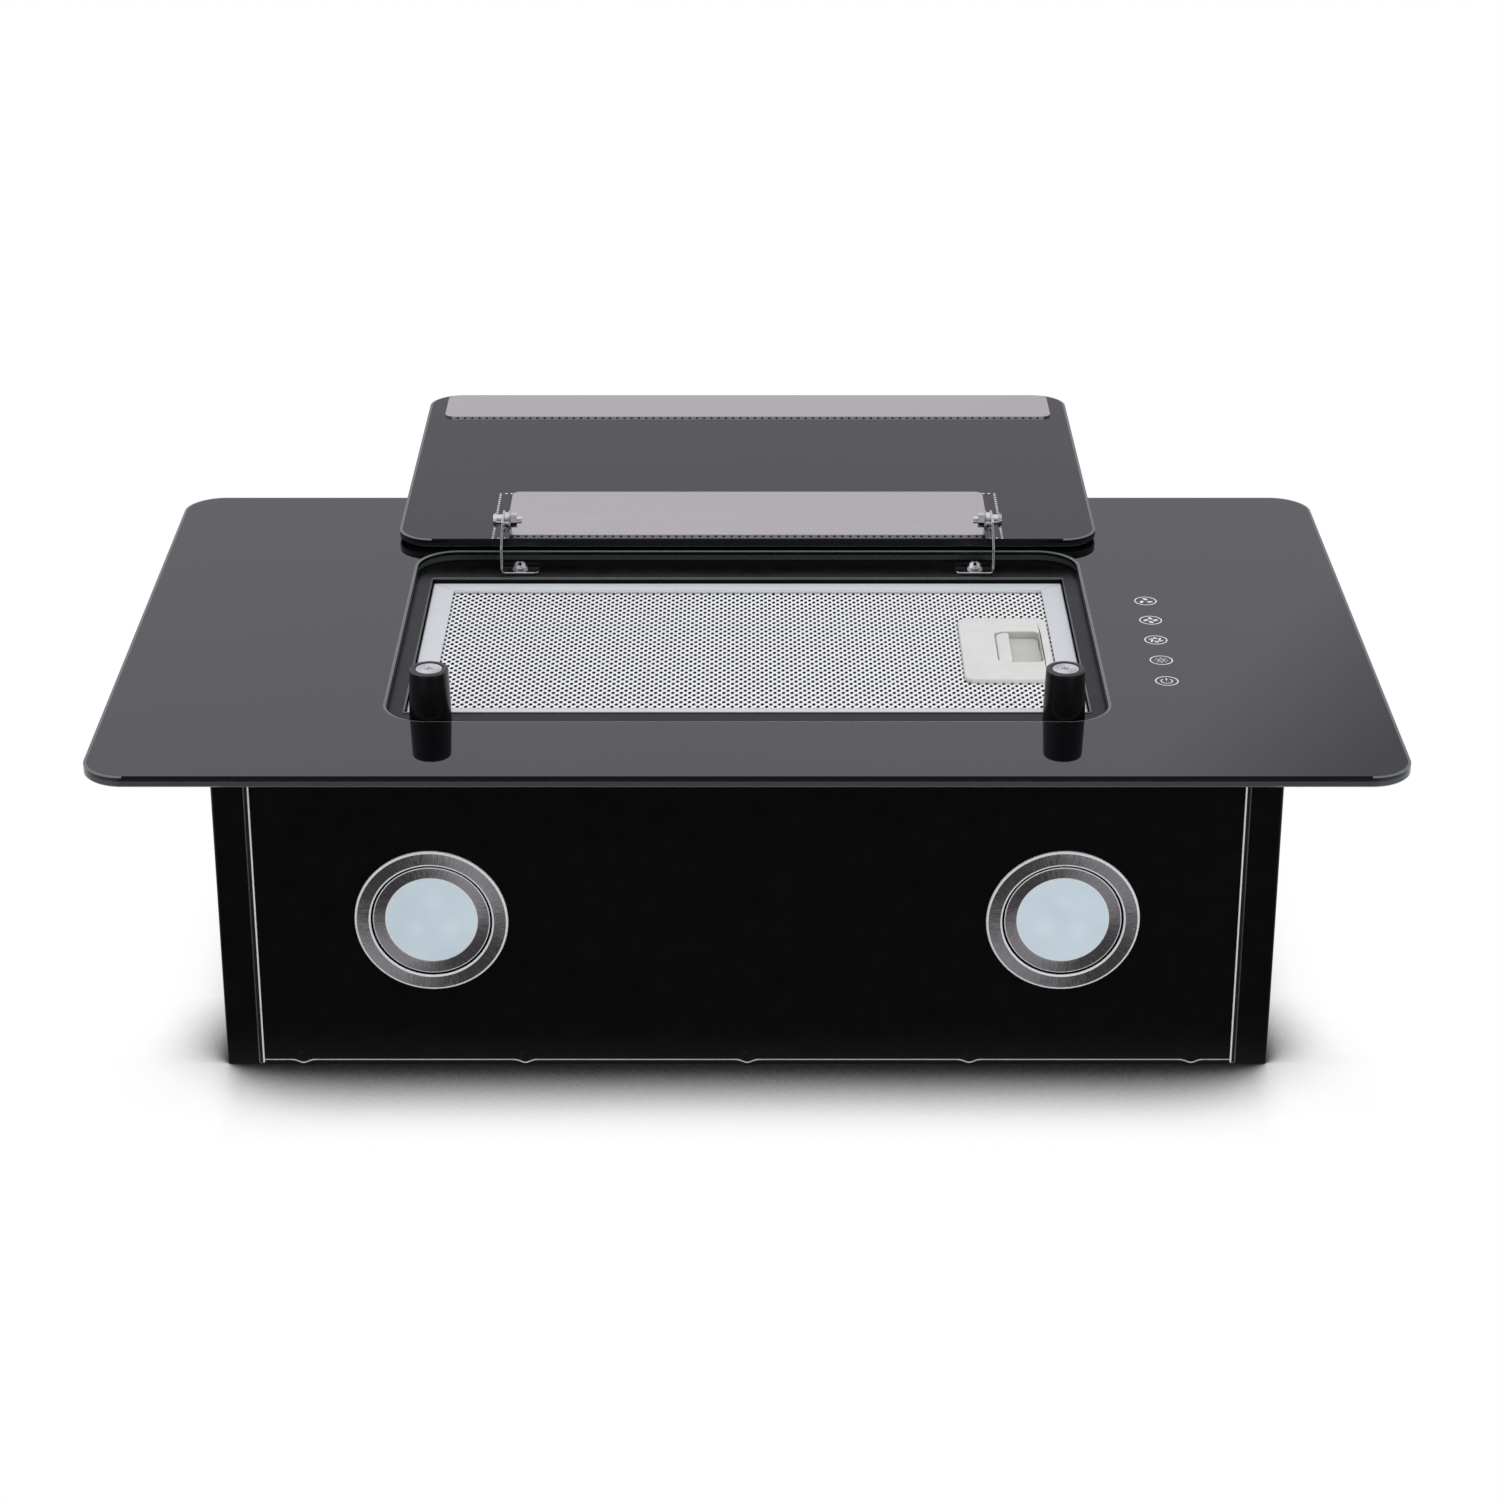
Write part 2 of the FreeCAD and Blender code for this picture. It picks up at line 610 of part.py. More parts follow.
def post_magnets():
    """Round magnets in the tops of the posts, countersunk in the middle."""
    start = V(POST_X, POST_Y, POST_TOP_Z - MAGNET_THICK)
    disc = rod(start, AXIS_Z, MAGNET_RADIUS, MAGNET_THICK)
    sink = Part.makeCone(MAGNET_RADIUS / 4, MAGNET_RADIUS / 2, MAGNET_THICK / 2,
                         start + AXIS_Z * (MAGNET_THICK / 2), AXIS_Z)
    return both_sides(disc.cut(sink))


def post_screws():
    """Screws that hold the posts from behind the front plate."""
    seat = V(POST_X, POST_Y, PLATE_BACK_Z)
    return both_sides(case_screw(seat, AXIS_Z * -1, SCREW_LENGTH))


def hinge_bracket():
    """Right L bracket: a foot screwed to the ledge and an arm that carries the pivot."""
    foot_x = ARM_OUTER_X - BRACKET_FOOT
    foot_top = BODY_DEPTH + BRACKET_SHEET
    foot = plate(foot_x, ARM_OUTER_X, BRACKET_NEAR_Y, BRACKET_FAR_Y, BODY_DEPTH, foot_top,
                 BRACKET_FOOT_CORNER)
    low = HINGE_Z - EAR_RADIUS
    high = HINGE_Z + EAR_RADIUS
    outline = [(BRACKET_NEAR_Y, BODY_DEPTH), (BRACKET_FAR_Y, BODY_DEPTH), (BRACKET_FAR_Y, low)]
    outline += [(HINGE_Y, low), (HINGE_Y, high), (BRACKET_FAR_Y, high), (BRACKET_NEAR_Y, low)]
    points = [V(ARM_INNER_X, y, z) for y, z in outline]
    arm = Part.Face(Part.makePolygon(points + points[:1])).extrude(AXIS_X * BRACKET_SHEET)
    pivot = V(ARM_INNER_X, HINGE_Y, HINGE_Z)
    arm = joined([foot, arm, rod(pivot, AXIS_X, EAR_RADIUS, BRACKET_SHEET)])
    hole = rod(pivot, AXIS_X, BOLT_RADIUS + PIVOT_PLAY, BRACKET_SHEET)
    seat = bracket_screw_place()
    return arm.cut([hole, rod(seat, AXIS_Z * -1, SCREW_RADIUS + SCREW_PLAY, BRACKET_SHEET)])


def bracket_screws():
    """Pan-head screws through the feet of the brackets."""
    seat = bracket_screw_place()
    return both_sides(case_screw(seat, AXIS_Z, SCREW_LENGTH))


def flap_glass():
    """Glass flap, folded back over the front glass."""
    half_x = FLAP_WIDTH / 2
    back = FLAP_INNER_Z - FLAP_THICK
    sheet = plate(-half_x, half_x, FLAP_NEAR_Y, FLAP_FAR_Y, back, FLAP_INNER_Z, FLAP_CORNER)
    return beveled(sheet, FLAP_BEVEL, (back, FLAP_INNER_Z))


def hinge_plate():
    """Steel strip bonded to the flap, wider past the pivots, with an ear at each end for them."""
    start = HINGE_Y - HINGE_PLATE_START
    end = start + HINGE_PLATE_LENGTH
    wing_start = start + HINGE_WING_START
    root = box(-EAR_X, EAR_X, start, (start + end) / 2, FLAP_INNER_Z, STRIP_TOP_Z)
    wing_x = EAR_X + HINGE_WING
    wings = plate(-wing_x, wing_x, wing_start, end, FLAP_INNER_Z, STRIP_TOP_Z, HINGE_PLATE_CORNER)
    sheet = joined([root, wings])
    ear = box(EAR_X - STRIP_THICK, EAR_X, start, HINGE_Y + EAR_RADIUS, FLAP_INNER_Z, HINGE_Z)
    pivot = V(EAR_X - STRIP_THICK, HINGE_Y, HINGE_Z)
    ear = joined([ear, rod(pivot, AXIS_X, EAR_RADIUS, STRIP_THICK)])
    ear = ear.cut(rod(pivot, AXIS_X, BOLT_RADIUS + SEAT_PLAY, STRIP_THICK))
    return joined([sheet, ear, on_side(ear, -1)])


def magnet_strip():
    """Steel strip on the flap's free edge, which the post magnets hold."""
    half_x = MAGNET_STRIP_WIDTH / 2
    end = FLAP_FAR_Y - MAGNET_STRIP_EDGE
    return plate(-half_x, half_x, end - MAGNET_STRIP_LENGTH, end, FLAP_INNER_Z, STRIP_TOP_Z, STRIP_CORNER)


def pivot_bolts():
    """Bolts that turn with the flap, heads outside the bracket arms."""
    seat = V(ARM_OUTER_X + END_PLAY + SPACER_LENGTH, HINGE_Y, HINGE_Z)
    tail_x = EAR_X - STRIP_THICK - NUT_HEIGHT - BOLT_TAIL
    return both_sides(screw(seat, AXIS_X, BOLT_RADIUS, BOLT_HEAD_RADIUS, BOLT_HEAD_HEIGHT, seat.x - tail_x))


def pivot_washers():
    """Washers between the ears and the arms, and spacers under the bolt heads."""
    hole = BOLT_RADIUS + SEAT_PLAY
    washer = ring(V(EAR_X, HINGE_Y, HINGE_Z), AXIS_X, WASHER_RADIUS, hole, WASHER_THICK)
    start = V(ARM_OUTER_X + END_PLAY, HINGE_Y, HINGE_Z)
    spacer = ring(start, AXIS_X, SPACER_RADIUS, hole, SPACER_LENGTH)
    return both_sides(Part.makeCompound([washer, spacer]))


def pivot_nuts():
    """Nuts on the inner faces of the ears."""
    start = V(EAR_X - STRIP_THICK - NUT_HEIGHT, HINGE_Y, HINGE_Z)
    nut = hexagon(start, AXIS_X, NUT_RADIUS, NUT_HEIGHT)
    return both_sides(nut.cut(rod(start, AXIS_X, BOLT_RADIUS + SEAT_PLAY, NUT_HEIGHT)))


def filter_frame():
    """Aluminium channel frame that grips the mesh layers, with a slot for the latch tongue."""
    frame = box(-FILTER_X, FILTER_X, FILTER_NEAR_Y, FILTER_FAR_Y, FILTER_BACK_Z, FILTER_TOP_Z)
    frame = beveled(frame, FRAME_BEVEL, (FILTER_BACK_Z, FILTER_TOP_Z))
    opening = box(-MESH_X, MESH_X, MESH_NEAR_Y, MESH_FAR_Y, FILTER_BACK_Z, FILTER_TOP_Z)
    groove = box(-MESH_X - MESH_GRIP, MESH_X + MESH_GRIP, MESH_NEAR_Y - MESH_GRIP, MESH_FAR_Y + MESH_GRIP,
                 FILTER_BACK_Z + FRAME_LIP, FILTER_TOP_Z - FRAME_LIP)
    return frame.cut([opening, groove, latch_channel(LATCH_PLAY, MESH_X, FILTER_X)])


def handle_cup(margin, z0, z1):
    """Block around the finger slot of the filter handle."""
    return box(SLOT_LEFT_X - margin, SLOT_RIGHT_X + margin, SLOT_NEAR_Y - margin, SLOT_FAR_Y + margin, z0, z1)


def mesh_layer(z0, z1):
    """One layer of the filter pack, cut away for the handle's cup and the latch."""
    grip = MESH_GRIP - MESH_PLAY
    layer = box(-MESH_X - grip, MESH_X + grip, MESH_NEAR_Y - grip, MESH_FAR_Y + grip, z0, z1)
    cup = handle_cup(CUP_WALL + LATCH_PLAY, z0, z1)
    return layer.cut([cup, latch_channel(LATCH_PLAY, SLOT_RIGHT_X, FILTER_X)])


def filter_handle():
    """Moulded pad with a finger cup let into the mesh."""
    top = MESH_TOP_Z + HANDLE_RISE
    pad = plate(HANDLE_LEFT_X, HANDLE_RIGHT_X, HANDLE_NEAR_Y, HANDLE_NEAR_Y + HANDLE_LENGTH, MESH_TOP_Z, top,
                HANDLE_CORNER)
    pad = beveled(pad, HANDLE_BEVEL, (top,))
    cup = handle_cup(CUP_WALL, MESH_BACK_Z, MESH_TOP_Z)
    slot = plate(SLOT_LEFT_X, SLOT_RIGHT_X, SLOT_NEAR_Y, SLOT_FAR_Y, CUP_FLOOR_Z, top, SLOT_CORNER)
    channel = latch_channel(LATCH_PLAY, SLOT_RIGHT_X, SLOT_RIGHT_X + CUP_WALL)
    return joined([pad, cup]).cut([slot, channel])


def filter_latch():
    """Slider drawn back into the filter: a sloped finger lip across the slot and a tongue."""
    play = LATCH_PLAY
    left = SLOT_LEFT_X + play
    right = left + LATCH_LIP
    top = MESH_TOP_Z + HANDLE_RISE - play
    floor = CUP_FLOOR_Z + play
    profile = [(left, floor), (right, floor), (right, top), (left, top - LATCH_SLOPE)]
    points = [V(x, SLOT_NEAR_Y + play, z) for x, z in profile]
    lip = Part.Face(Part.makePolygon(points + points[:1])).extrude(AXIS_Y * (SLOT_LENGTH - 2 * play))
    slot = plate(left, SLOT_RIGHT_X, SLOT_NEAR_Y + play, SLOT_FAR_Y - play, floor, top, SLOT_CORNER)
    return joined([lip.common(slot), latch_channel(0, right - play, FILTER_X - play)])


def lamp_place(depth):
    """Point on the right lamp's axis, a depth inside the near face."""
    return V(LAMP_X, depth - BODY_Y, LAMP_Z)


def light_bezel():
    """Right lamp's turned ring: an outer land, a step and an inner land."""
    front = AXIS_Y * -1
    outer = ring(lamp_place(0), front, LAMP_RADIUS, LAMP_STEP_RADIUS, LAMP_FLANGE)
    rim = [edge for edge in outer.Edges if edge.Closed and edge.BoundBox.YMin < -BODY_Y - LAMP_FLANGE / 2]
    outer = outer.makeChamfer(LAMP_BEVEL, rim)
    inner = ring(lamp_place(0), front, LAMP_STEP_RADIUS, LAMP_LENS_RADIUS, LAMP_FLANGE - LAMP_STEP)
    groove_radius = LAMP_STEP_RADIUS - LAMP_GROOVE
    groove = ring(lamp_place(-LAMP_STEP), front, LAMP_STEP_RADIUS, groove_radius, LAMP_FLANGE)
    return joined([outer, inner]).cut(groove)


def light_lens():
    """Right lamp's frosted lens: a disc that fills the bezel, with a shoulder behind it."""
    face = rod(lamp_place(0), AXIS_Y * -1, LAMP_LENS_RADIUS - SEAT_PLAY, LAMP_FLANGE - 2 * LAMP_STEP)
    shoulder = rod(lamp_place(0), AXIS_Y, LAMP_CAN_RADIUS - LAMP_CAN_WALL - LAMP_PLAY, LAMP_LENS_THICK)
    return joined([face, shoulder])


def light_housing():
    """Right lamp's can behind the panel."""
    can = rod(lamp_place(0), AXIS_Y, LAMP_CAN_RADIUS, LAMP_CAN_DEPTH)
    inner = LAMP_CAN_RADIUS - LAMP_CAN_WALL
    return can.cut(rod(lamp_place(0), AXIS_Y, inner, LAMP_CAN_DEPTH - LAMP_CAN_WALL))


def diode_boards():
    """Round boards across both lamp cans."""
    radius = LAMP_CAN_RADIUS - LAMP_CAN_WALL - LAMP_PLAY
    return both_sides(rod(lamp_place(LAMP_BOARD_DEPTH), AXIS_Y, radius, LAMP_BOARD_THICK))


def light_clips():
    """Bent springs on both sides of each can that pull it against the back of the panel."""
    half = CLIP_WIDTH / 2
    clips = []
    for lamp in (-LAMP_X, LAMP_X):
        for side in (-1, 1):
            can_x = lamp + side * LAMP_CAN_RADIUS
            x0, x1 = sorted((can_x, can_x + side * SHEET))
            x2, x3 = sorted((can_x, can_x + side * CLIP_SPREAD))
            leg = box(x0, x1, -INNER_Y, CLIP_LENGTH - INNER_Y, LAMP_Z - half, LAMP_Z + half)
            foot = box(x2, x3, -INNER_Y, SHEET - INNER_Y, LAMP_Z - half, LAMP_Z + half)
            clips.append(joined([leg, foot]))
    return Part.makeCompound(clips)


def scroll_outline(offset, z):
    """Scroll in plan: three quarter circles on a growing spiral, then a straight outlet.

    The centres are corners of a square whose side is the growth of each quarter.
    """
    half = SCROLL_GROWTH / 2
    left = -OUTLET_WIDTH / 2 - offset
    right = OUTLET_WIDTH / 2 + offset
    centres = ((-half, -half), (half, -half), (half, half))
    edges = []
    for index, (dx, dy) in enumerate(centres):
        centre = V(BLOWER_X + dx, BLOWER_Y + dy, z)
        radius = SCROLL_START_RADIUS + index * SCROLL_GROWTH + offset
        angles = [math.radians(90 + 90 * index + step) for step in (0, 45, 90)]
        points = [centre + V(math.cos(angle), math.sin(angle), 0) * radius for angle in angles]
        edges.append(Part.Arc(*points).toShape())
        if index == 0:
            tongue = points[0]
    tail = V(right, BLOWER_Y + half, z)
    corners = [tail, V(right, INNER_Y, z), V(left, INNER_Y, z), V(left, tongue.y, z), tongue]
    for start, end in zip(corners, corners[1:]):
        edges.append(Part.LineSegment(start, end).toShape())
    return Part.Face(Part.Wire(Part.__sortEdges__(edges)))


def scroll_housing():
    """Scroll with its base and wall, open at the outlet, on three feet."""
    solid = scroll_outline(SCROLL_WALL, SCROLL_BASE_Z).extrude(AXIS_Z * (SCROLL_DEPTH - SCROLL_WALL))
    floor = SCROLL_BASE_Z + SCROLL_WALL
    hollow = scroll_outline(0, floor).extrude(AXIS_Z * (SCROLL_DEPTH - 2 * SCROLL_WALL))
    feet = []
    for turn in (60, 180, 300):
        angle = math.radians(turn)
        reach = SCROLL_START_RADIUS - 2 * FOOT_RADIUS
        place = V(BLOWER_X + reach * math.cos(angle), BLOWER_Y + reach * math.sin(angle), SHEET)
        feet.append(rod(place, AXIS_Z, FOOT_RADIUS, SCROLL_BASE_Z - SHEET))
    return joined([solid.cut(hollow)] + feet)


def blower_point(z):
    """Point on the impeller's axis."""
    return V(BLOWER_X, BLOWER_Y, z)


def scroll_inlet_plate():
    """Cover of the scroll with a rolled inlet ring."""
    start = SCROLL_TOP_Z - SCROLL_WALL
    cover = scroll_outline(SCROLL_WALL, start).extrude(AXIS_Z * SCROLL_WALL)
    rim = rod(blower_point(SCROLL_TOP_Z - INLET_RIM), AXIS_Z, INLET_RADIUS, INLET_RIM)
    bore = rod(blower_point(SCROLL_TOP_Z - INLET_RIM), AXIS_Z, INLET_RADIUS - SCROLL_WALL, INLET_RIM)
    return joined([cover, rim]).cut(bore)


def impeller():
    """Wheel with forward blades between a dished plate over the motor and a top ring."""
    top = WHEEL_Z + WHEEL_DEPTH
    dish_outer = DISH_RADIUS + WHEEL_PLATE
    pieces = [ring(blower_point(WHEEL_Z), AXIS_Z, WHEEL_RADIUS, DISH_RADIUS, WHEEL_PLATE)]
    pieces.append(ring(blower_point(WHEEL_Z), AXIS_Z, dish_outer, DISH_RADIUS, HUB_Z - WHEEL_Z))
    pieces.append(rod(blower_point(HUB_Z), AXIS_Z, dish_outer, WHEEL_PLATE))
    pieces.append(rod(blower_point(HUB_Z), AXIS_Z, HUB_RADIUS, HUB_HEIGHT))
    shroud = blower_point(top - WHEEL_PLATE)
    pieces.append(ring(shroud, AXIS_Z, WHEEL_RADIUS, BLADE_INNER_RADIUS, WHEEL_PLATE))
    middle = (WHEEL_RADIUS + BLADE_INNER_RADIUS) / 2
    half = (WHEEL_RADIUS - BLADE_INNER_RADIUS) / 2 - BLADE_THICK
    for index in range(BLADE_COUNT):
        blade = box(-half, half, -BLADE_THICK / 2, BLADE_THICK / 2, WHEEL_Z, top)
        blade.rotate(ORIGIN, AXIS_Z, BLADE_TILT)
        blade.translate(V(middle, 0, 0))
        blade.rotate(ORIGIN, AXIS_Z, 360.0 * index / BLADE_COUNT)
        blade.translate(blower_point(0))
        pieces.append(blade)
    bore = rod(blower_point(HUB_Z), AXIS_Z, SHAFT_RADIUS + RUNNING_PLAY, HUB_HEIGHT)
    return joined(pieces).cut(bore)


def impeller_nut():
    """Hexagon nut on the end of the shaft."""
    nut = hexagon(blower_point(HUB_TOP_Z), AXIS_Z, SHAFT_NUT_RADIUS, SHAFT_NUT_HEIGHT)
    return nut.cut(rod(blower_point(HUB_TOP_Z), AXIS_Z, SHAFT_RADIUS + RUNNING_PLAY, SHAFT_NUT_HEIGHT))


def motor_shaft():
    """Shaft with the collar that the impeller hub sits on."""
    length = HUB_TOP_Z + SHAFT_NUT_HEIGHT + SHAFT_TIP - SHAFT_BOTTOM_Z
    shaft = rod(blower_point(SHAFT_BOTTOM_Z), AXIS_Z, SHAFT_RADIUS, length)
    return joined([shaft, rod(blower_point(HUB_Z - SHAFT_COLLAR), AXIS_Z, SHAFT_COLLAR_RADIUS, SHAFT_COLLAR)])


def motor_rotor():
    """Rotor core on the shaft."""
    start = blower_point(MOTOR_Z + STATOR_RISE)
    return ring(start, AXIS_Z, STATOR_INNER_RADIUS - AIR_GAP, SHAFT_RADIUS + RUNNING_PLAY, STATOR_HEIGHT)


def motor_stator():
    """Stator ring inside the can."""
    start = blower_point(MOTOR_Z + STATOR_RISE)
    return ring(start, AXIS_Z, MOTOR_RADIUS - MOTOR_WALL - SEAT_PLAY, STATOR_INNER_RADIUS, STATOR_HEIGHT)


def bearing_seat(z):
    """Short ring that holds a bearing."""
    inner = BEARING_RADIUS + SEAT_PLAY
    return ring(blower_point(z), AXIS_Z, inner + BEARING_SEAT, inner, BEARING_HEIGHT)


def motor_flange():
    """Round flange under the motor, with the lower bearing's seat."""
    hole = SHAFT_RADIUS + SHAFT_VENT
    disc = ring(blower_point(MOTOR_FLANGE_Z), AXIS_Z, MOTOR_FLANGE_RADIUS, hole, MOTOR_FLANGE)
    return joined([disc, bearing_seat(MOTOR_Z)])


def motor_can():
    """Drawn motor cover with the upper bearing's seat under its roof."""
    can = rod(blower_point(MOTOR_Z), AXIS_Z, MOTOR_RADIUS, MOTOR_HEIGHT)
    can = can.cut(rod(blower_point(MOTOR_Z), AXIS_Z, MOTOR_RADIUS - MOTOR_WALL, MOTOR_HEIGHT - MOTOR_WALL))
    roof = MOTOR_TOP_Z - MOTOR_WALL
    hole = rod(blower_point(roof), AXIS_Z, SHAFT_RADIUS + SHAFT_VENT, MOTOR_WALL)
    return joined([can, bearing_seat(roof - BEARING_HEIGHT)]).cut(hole)


def motor_bearings():
    """Two plain bearings that the shaft runs in."""
    heights = (MOTOR_Z, MOTOR_TOP_Z - MOTOR_WALL - BEARING_HEIGHT)
    bore = SHAFT_RADIUS + RUNNING_PLAY
    rings = [ring(blower_point(z), AXIS_Z, BEARING_RADIUS, bore, BEARING_HEIGHT) for z in heights]
    return Part.makeCompound(rings)


def motor_bushes():
    """Rubber bushes between the scroll's base and the motor flange."""
    bushes = []
    for turn in (0, 120, 240):
        angle = math.radians(turn)
        place = blower_point(SCROLL_BASE_Z + SCROLL_WALL)
        place += V(math.cos(angle), math.sin(angle), 0) * BUSH_CIRCLE
        bushes.append(rod(place, AXIS_Z, BUSH_RADIUS, BUSH_HEIGHT))
    return Part.makeCompound(bushes)


def run_capacitor():
    """Round capacitor lying on the back plate."""
    start = V(CAPACITOR_X, CAPACITOR_Y, SHEET + CAPACITOR_RADIUS + SEAT_PLAY)
    return rod(start, AXIS_Y, CAPACITOR_RADIUS, CAPACITOR_LENGTH)


def leaf_pin():
    """Trunnion of the right damper leaf, across the collar."""
    reach = DUCT_RADIUS - LEAF_PIN_END
    return rod(V(LEAF_PIN_X, LEAF_Y, DUCT_Z - reach), AXIS_Z, LEAF_PIN_RADIUS, 2 * reach)


def duct_collar():
    """Collar for a round duct: a flat flange, a tube and holes for the leaf trunnions."""
    reach = DUCT_RADIUS + DUCT_FLANGE_MARGIN
    low = DUCT_SCREW_LOW_Z - DUCT_SCREW_INSET
    high = DUCT_SCREW_HIGH_Z + DUCT_SCREW_INSET
    flange = box(-reach, reach, BODY_Y, BODY_Y + DUCT_FLANGE, low, high)
    start = V(0, BODY_Y, DUCT_Z)
    tube = rod(start, AXIS_Y, DUCT_RADIUS, DUCT_LENGTH)
    cuts = [rod(start, AXIS_Y, DUCT_RADIUS - DUCT_WALL, DUCT_LENGTH)]
    for x, z in duct_screw_places():
        cuts.append(rod(V(x, BODY_Y, z), AXIS_Y, SCREW_RADIUS + SCREW_PLAY, DUCT_FLANGE))
    for _, side in SIDES:
        place = V(side * LEAF_PIN_X, LEAF_Y, DUCT_Z - DUCT_RADIUS)
        cuts.append(rod(place, AXIS_Z, LEAF_PIN_RADIUS + PIVOT_PLAY, 2 * DUCT_RADIUS))
    return joined([flange, tube]).cut(cuts)


def collar_screws():
    """Screws at the corners of the collar's flange."""
    screws = []
    for x, z in duct_screw_places():
        seat = V(x, BODY_Y + DUCT_FLANGE, z)
        screws.append(case_screw(seat, AXIS_Y, DUCT_SCREW_LENGTH))
    return Part.makeCompound(screws)


def damper_leaf():
    """Right half-round leaf, shut across the collar, with its trunnion along the straight edge."""
    radius = DUCT_RADIUS - DUCT_WALL - LEAF_GAP
    start = V(0, LEAF_Y - LEAF_THICK / 2, DUCT_Z)
    disc = rod(start, AXIS_Y, radius, LEAF_THICK)
    half = box(LEAF_PIN_X, DUCT_RADIUS, LEAF_Y - LEAF_THICK, LEAF_Y + LEAF_THICK, DUCT_Z - radius,
               DUCT_Z + radius)
    return joined([disc.common(half), leaf_pin()])


def control_box():
    """Open box on the back plate, with posts for the board."""
    x1 = CONTROL_BOX_X + CONTROL_BOX_WIDTH
    y1 = CONTROL_BOX_Y + CONTROL_BOX_LENGTH
    wall = CONTROL_BOX_WALL
    shell = box(CONTROL_BOX_X, x1, CONTROL_BOX_Y, y1, SHEET, SHEET + CONTROL_BOX_DEPTH)
    hollow = box(CONTROL_BOX_X + wall, x1 - wall, CONTROL_BOX_Y + wall, y1 - wall, SHEET + wall,
                 SHEET + CONTROL_BOX_DEPTH)
    inset = wall + CONTROL_BOARD_GAP + CONTROL_POST_RADIUS
    posts = []
    for x in (CONTROL_BOX_X + inset, x1 - inset):
        for y in (CONTROL_BOX_Y + inset, y1 - inset):
            posts.append(rod(V(x, y, SHEET + wall), AXIS_Z, CONTROL_POST_RADIUS, CONTROL_BOARD_RISE))
    return joined([shell.cut(hollow)] + posts)


def control_box_cover():
    """Flat lid of the control box."""
    z = SHEET + CONTROL_BOX_DEPTH
    return box(CONTROL_BOX_X, CONTROL_BOX_X + CONTROL_BOX_WIDTH, CONTROL_BOX_Y,
               CONTROL_BOX_Y + CONTROL_BOX_LENGTH, z, z + CONTROL_BOX_WALL)


def control_board():
    """Control board on its posts."""
    inset = CONTROL_BOX_WALL + CONTROL_BOARD_GAP
    z = SHEET + CONTROL_BOX_WALL + CONTROL_BOARD_RISE
    return box(CONTROL_BOX_X + inset, CONTROL_BOX_X + CONTROL_BOX_WIDTH - inset, CONTROL_BOX_Y + inset,
               CONTROL_BOX_Y + CONTROL_BOX_LENGTH - inset, z, z + CONTROL_BOARD_THICK)


def touch_board():
    """Board under the key window."""
    return key_area(KEY_WINDOW_MARGIN + TOUCH_BOARD_MARGIN, PLATE_BACK_Z - TOUCH_BOARD_THICK, PLATE_BACK_Z)


def touch_pads():
    """Round contact pads between the touch board and the glass."""
    pads = [rod(V(KEY_X, y, PLATE_BACK_Z), AXIS_Z, KEY_PAD_RADIUS, SHEET) for y in key_places()]
    return Part.makeCompound(pads)


def lamp_driver():
    """Power supply for the lamps."""
    return plate(DRIVER_X, DRIVER_X + DRIVER_WIDTH, DRIVER_Y, DRIVER_Y + DRIVER_LENGTH, SHEET,
                 SHEET + DRIVER_DEPTH, DRIVER_CORNER)


def cable_gland():
    """Gland on the top panel: a hexagon outside, a domed cap and a threaded tail inside."""
    start = V(GLAND_X, BODY_Y, GLAND_Z)
    body = rod(start, AXIS_Y, GLAND_NUT_RADIUS, GLAND_NUT)
    cap = Part.makeCone(GLAND_CAP_RADIUS, GLAND_RADIUS, GLAND_DOME, start + AXIS_Y * GLAND_NUT, AXIS_Y)
    tail = rod(start, AXIS_Y * -1, GLAND_RADIUS, GLAND_TAIL)
    bore = rod(start - AXIS_Y * GLAND_TAIL, AXIS_Y, GLAND_BORE, GLAND_TAIL + GLAND_NUT + GLAND_DOME)
    return joined([body, cap, tail]).cut(bore)


def case_rivets():
    """Domed rivets along the lower edges of both face panels."""
    rivets = []
    for face in (-1, 1):
        for x in rivet_places():
            seat = V(x, face * BODY_Y, RIVET_Z)
            out = AXIS_Y * face
            head = Part.makeCone(RIVET_HEAD_RADIUS, RIVET_RADIUS, RIVET_HEAD_HEIGHT, seat, out)
            shank = rod(seat, out * -1, RIVET_RADIUS, 2 * SHEET + RIVET_TAIL)
            rivets.append(joined([head, shank]))
    return Part.makeCompound(rivets)


def case_screws():
    """Screws that hold both side panels to the front plate's rim."""
    z = PLATE_BACK_Z - CASE_SCREW_DROP
    screws = []
    for y in case_screw_places():
        seat = V(BODY_X, y, z)
        shape = case_screw(seat, AXIS_X, CASE_SCREW_LENGTH)
        screws += [shape, on_side(shape, -1)]
    return Part.makeCompound(screws)


PAIRED = (side_panel, rest_post, hinge_bracket, light_bezel, light_lens, light_housing, damper_leaf)
SINGLE = (
    back_plate, light_panel, top_panel, front_plate, filter_seat, glass_panel, post_magnets, post_screws,
    bracket_screws, flap_glass, hinge_plate, magnet_strip, pivot_bolts, pivot_washers, pivot_nuts,
    filter_frame, filter_handle, filter_latch, diode_boards, light_clips, scroll_housing,
    scroll_inlet_plate, impeller, impeller_nut, motor_shaft, motor_rotor, motor_stator, motor_flange,
    motor_can, motor_bearings, motor_bushes, run_capacitor, duct_collar, collar_screws, control_box,
    control_box_cover, control_board, touch_board, touch_pads, lamp_driver, cable_gland, case_rivets,
    case_screws,
)
MESH_LAYERS = (
    ("filter_front_mesh", MESH_TOP_Z - MESH_SHEET, MESH_TOP_Z),
    ("filter_core", MESH_BACK_Z + MESH_SHEET, MESH_TOP_Z - MESH_SHEET),
    ("filter_back_mesh", MESH_BACK_Z, MESH_BACK_Z + MESH_SHEET),
)


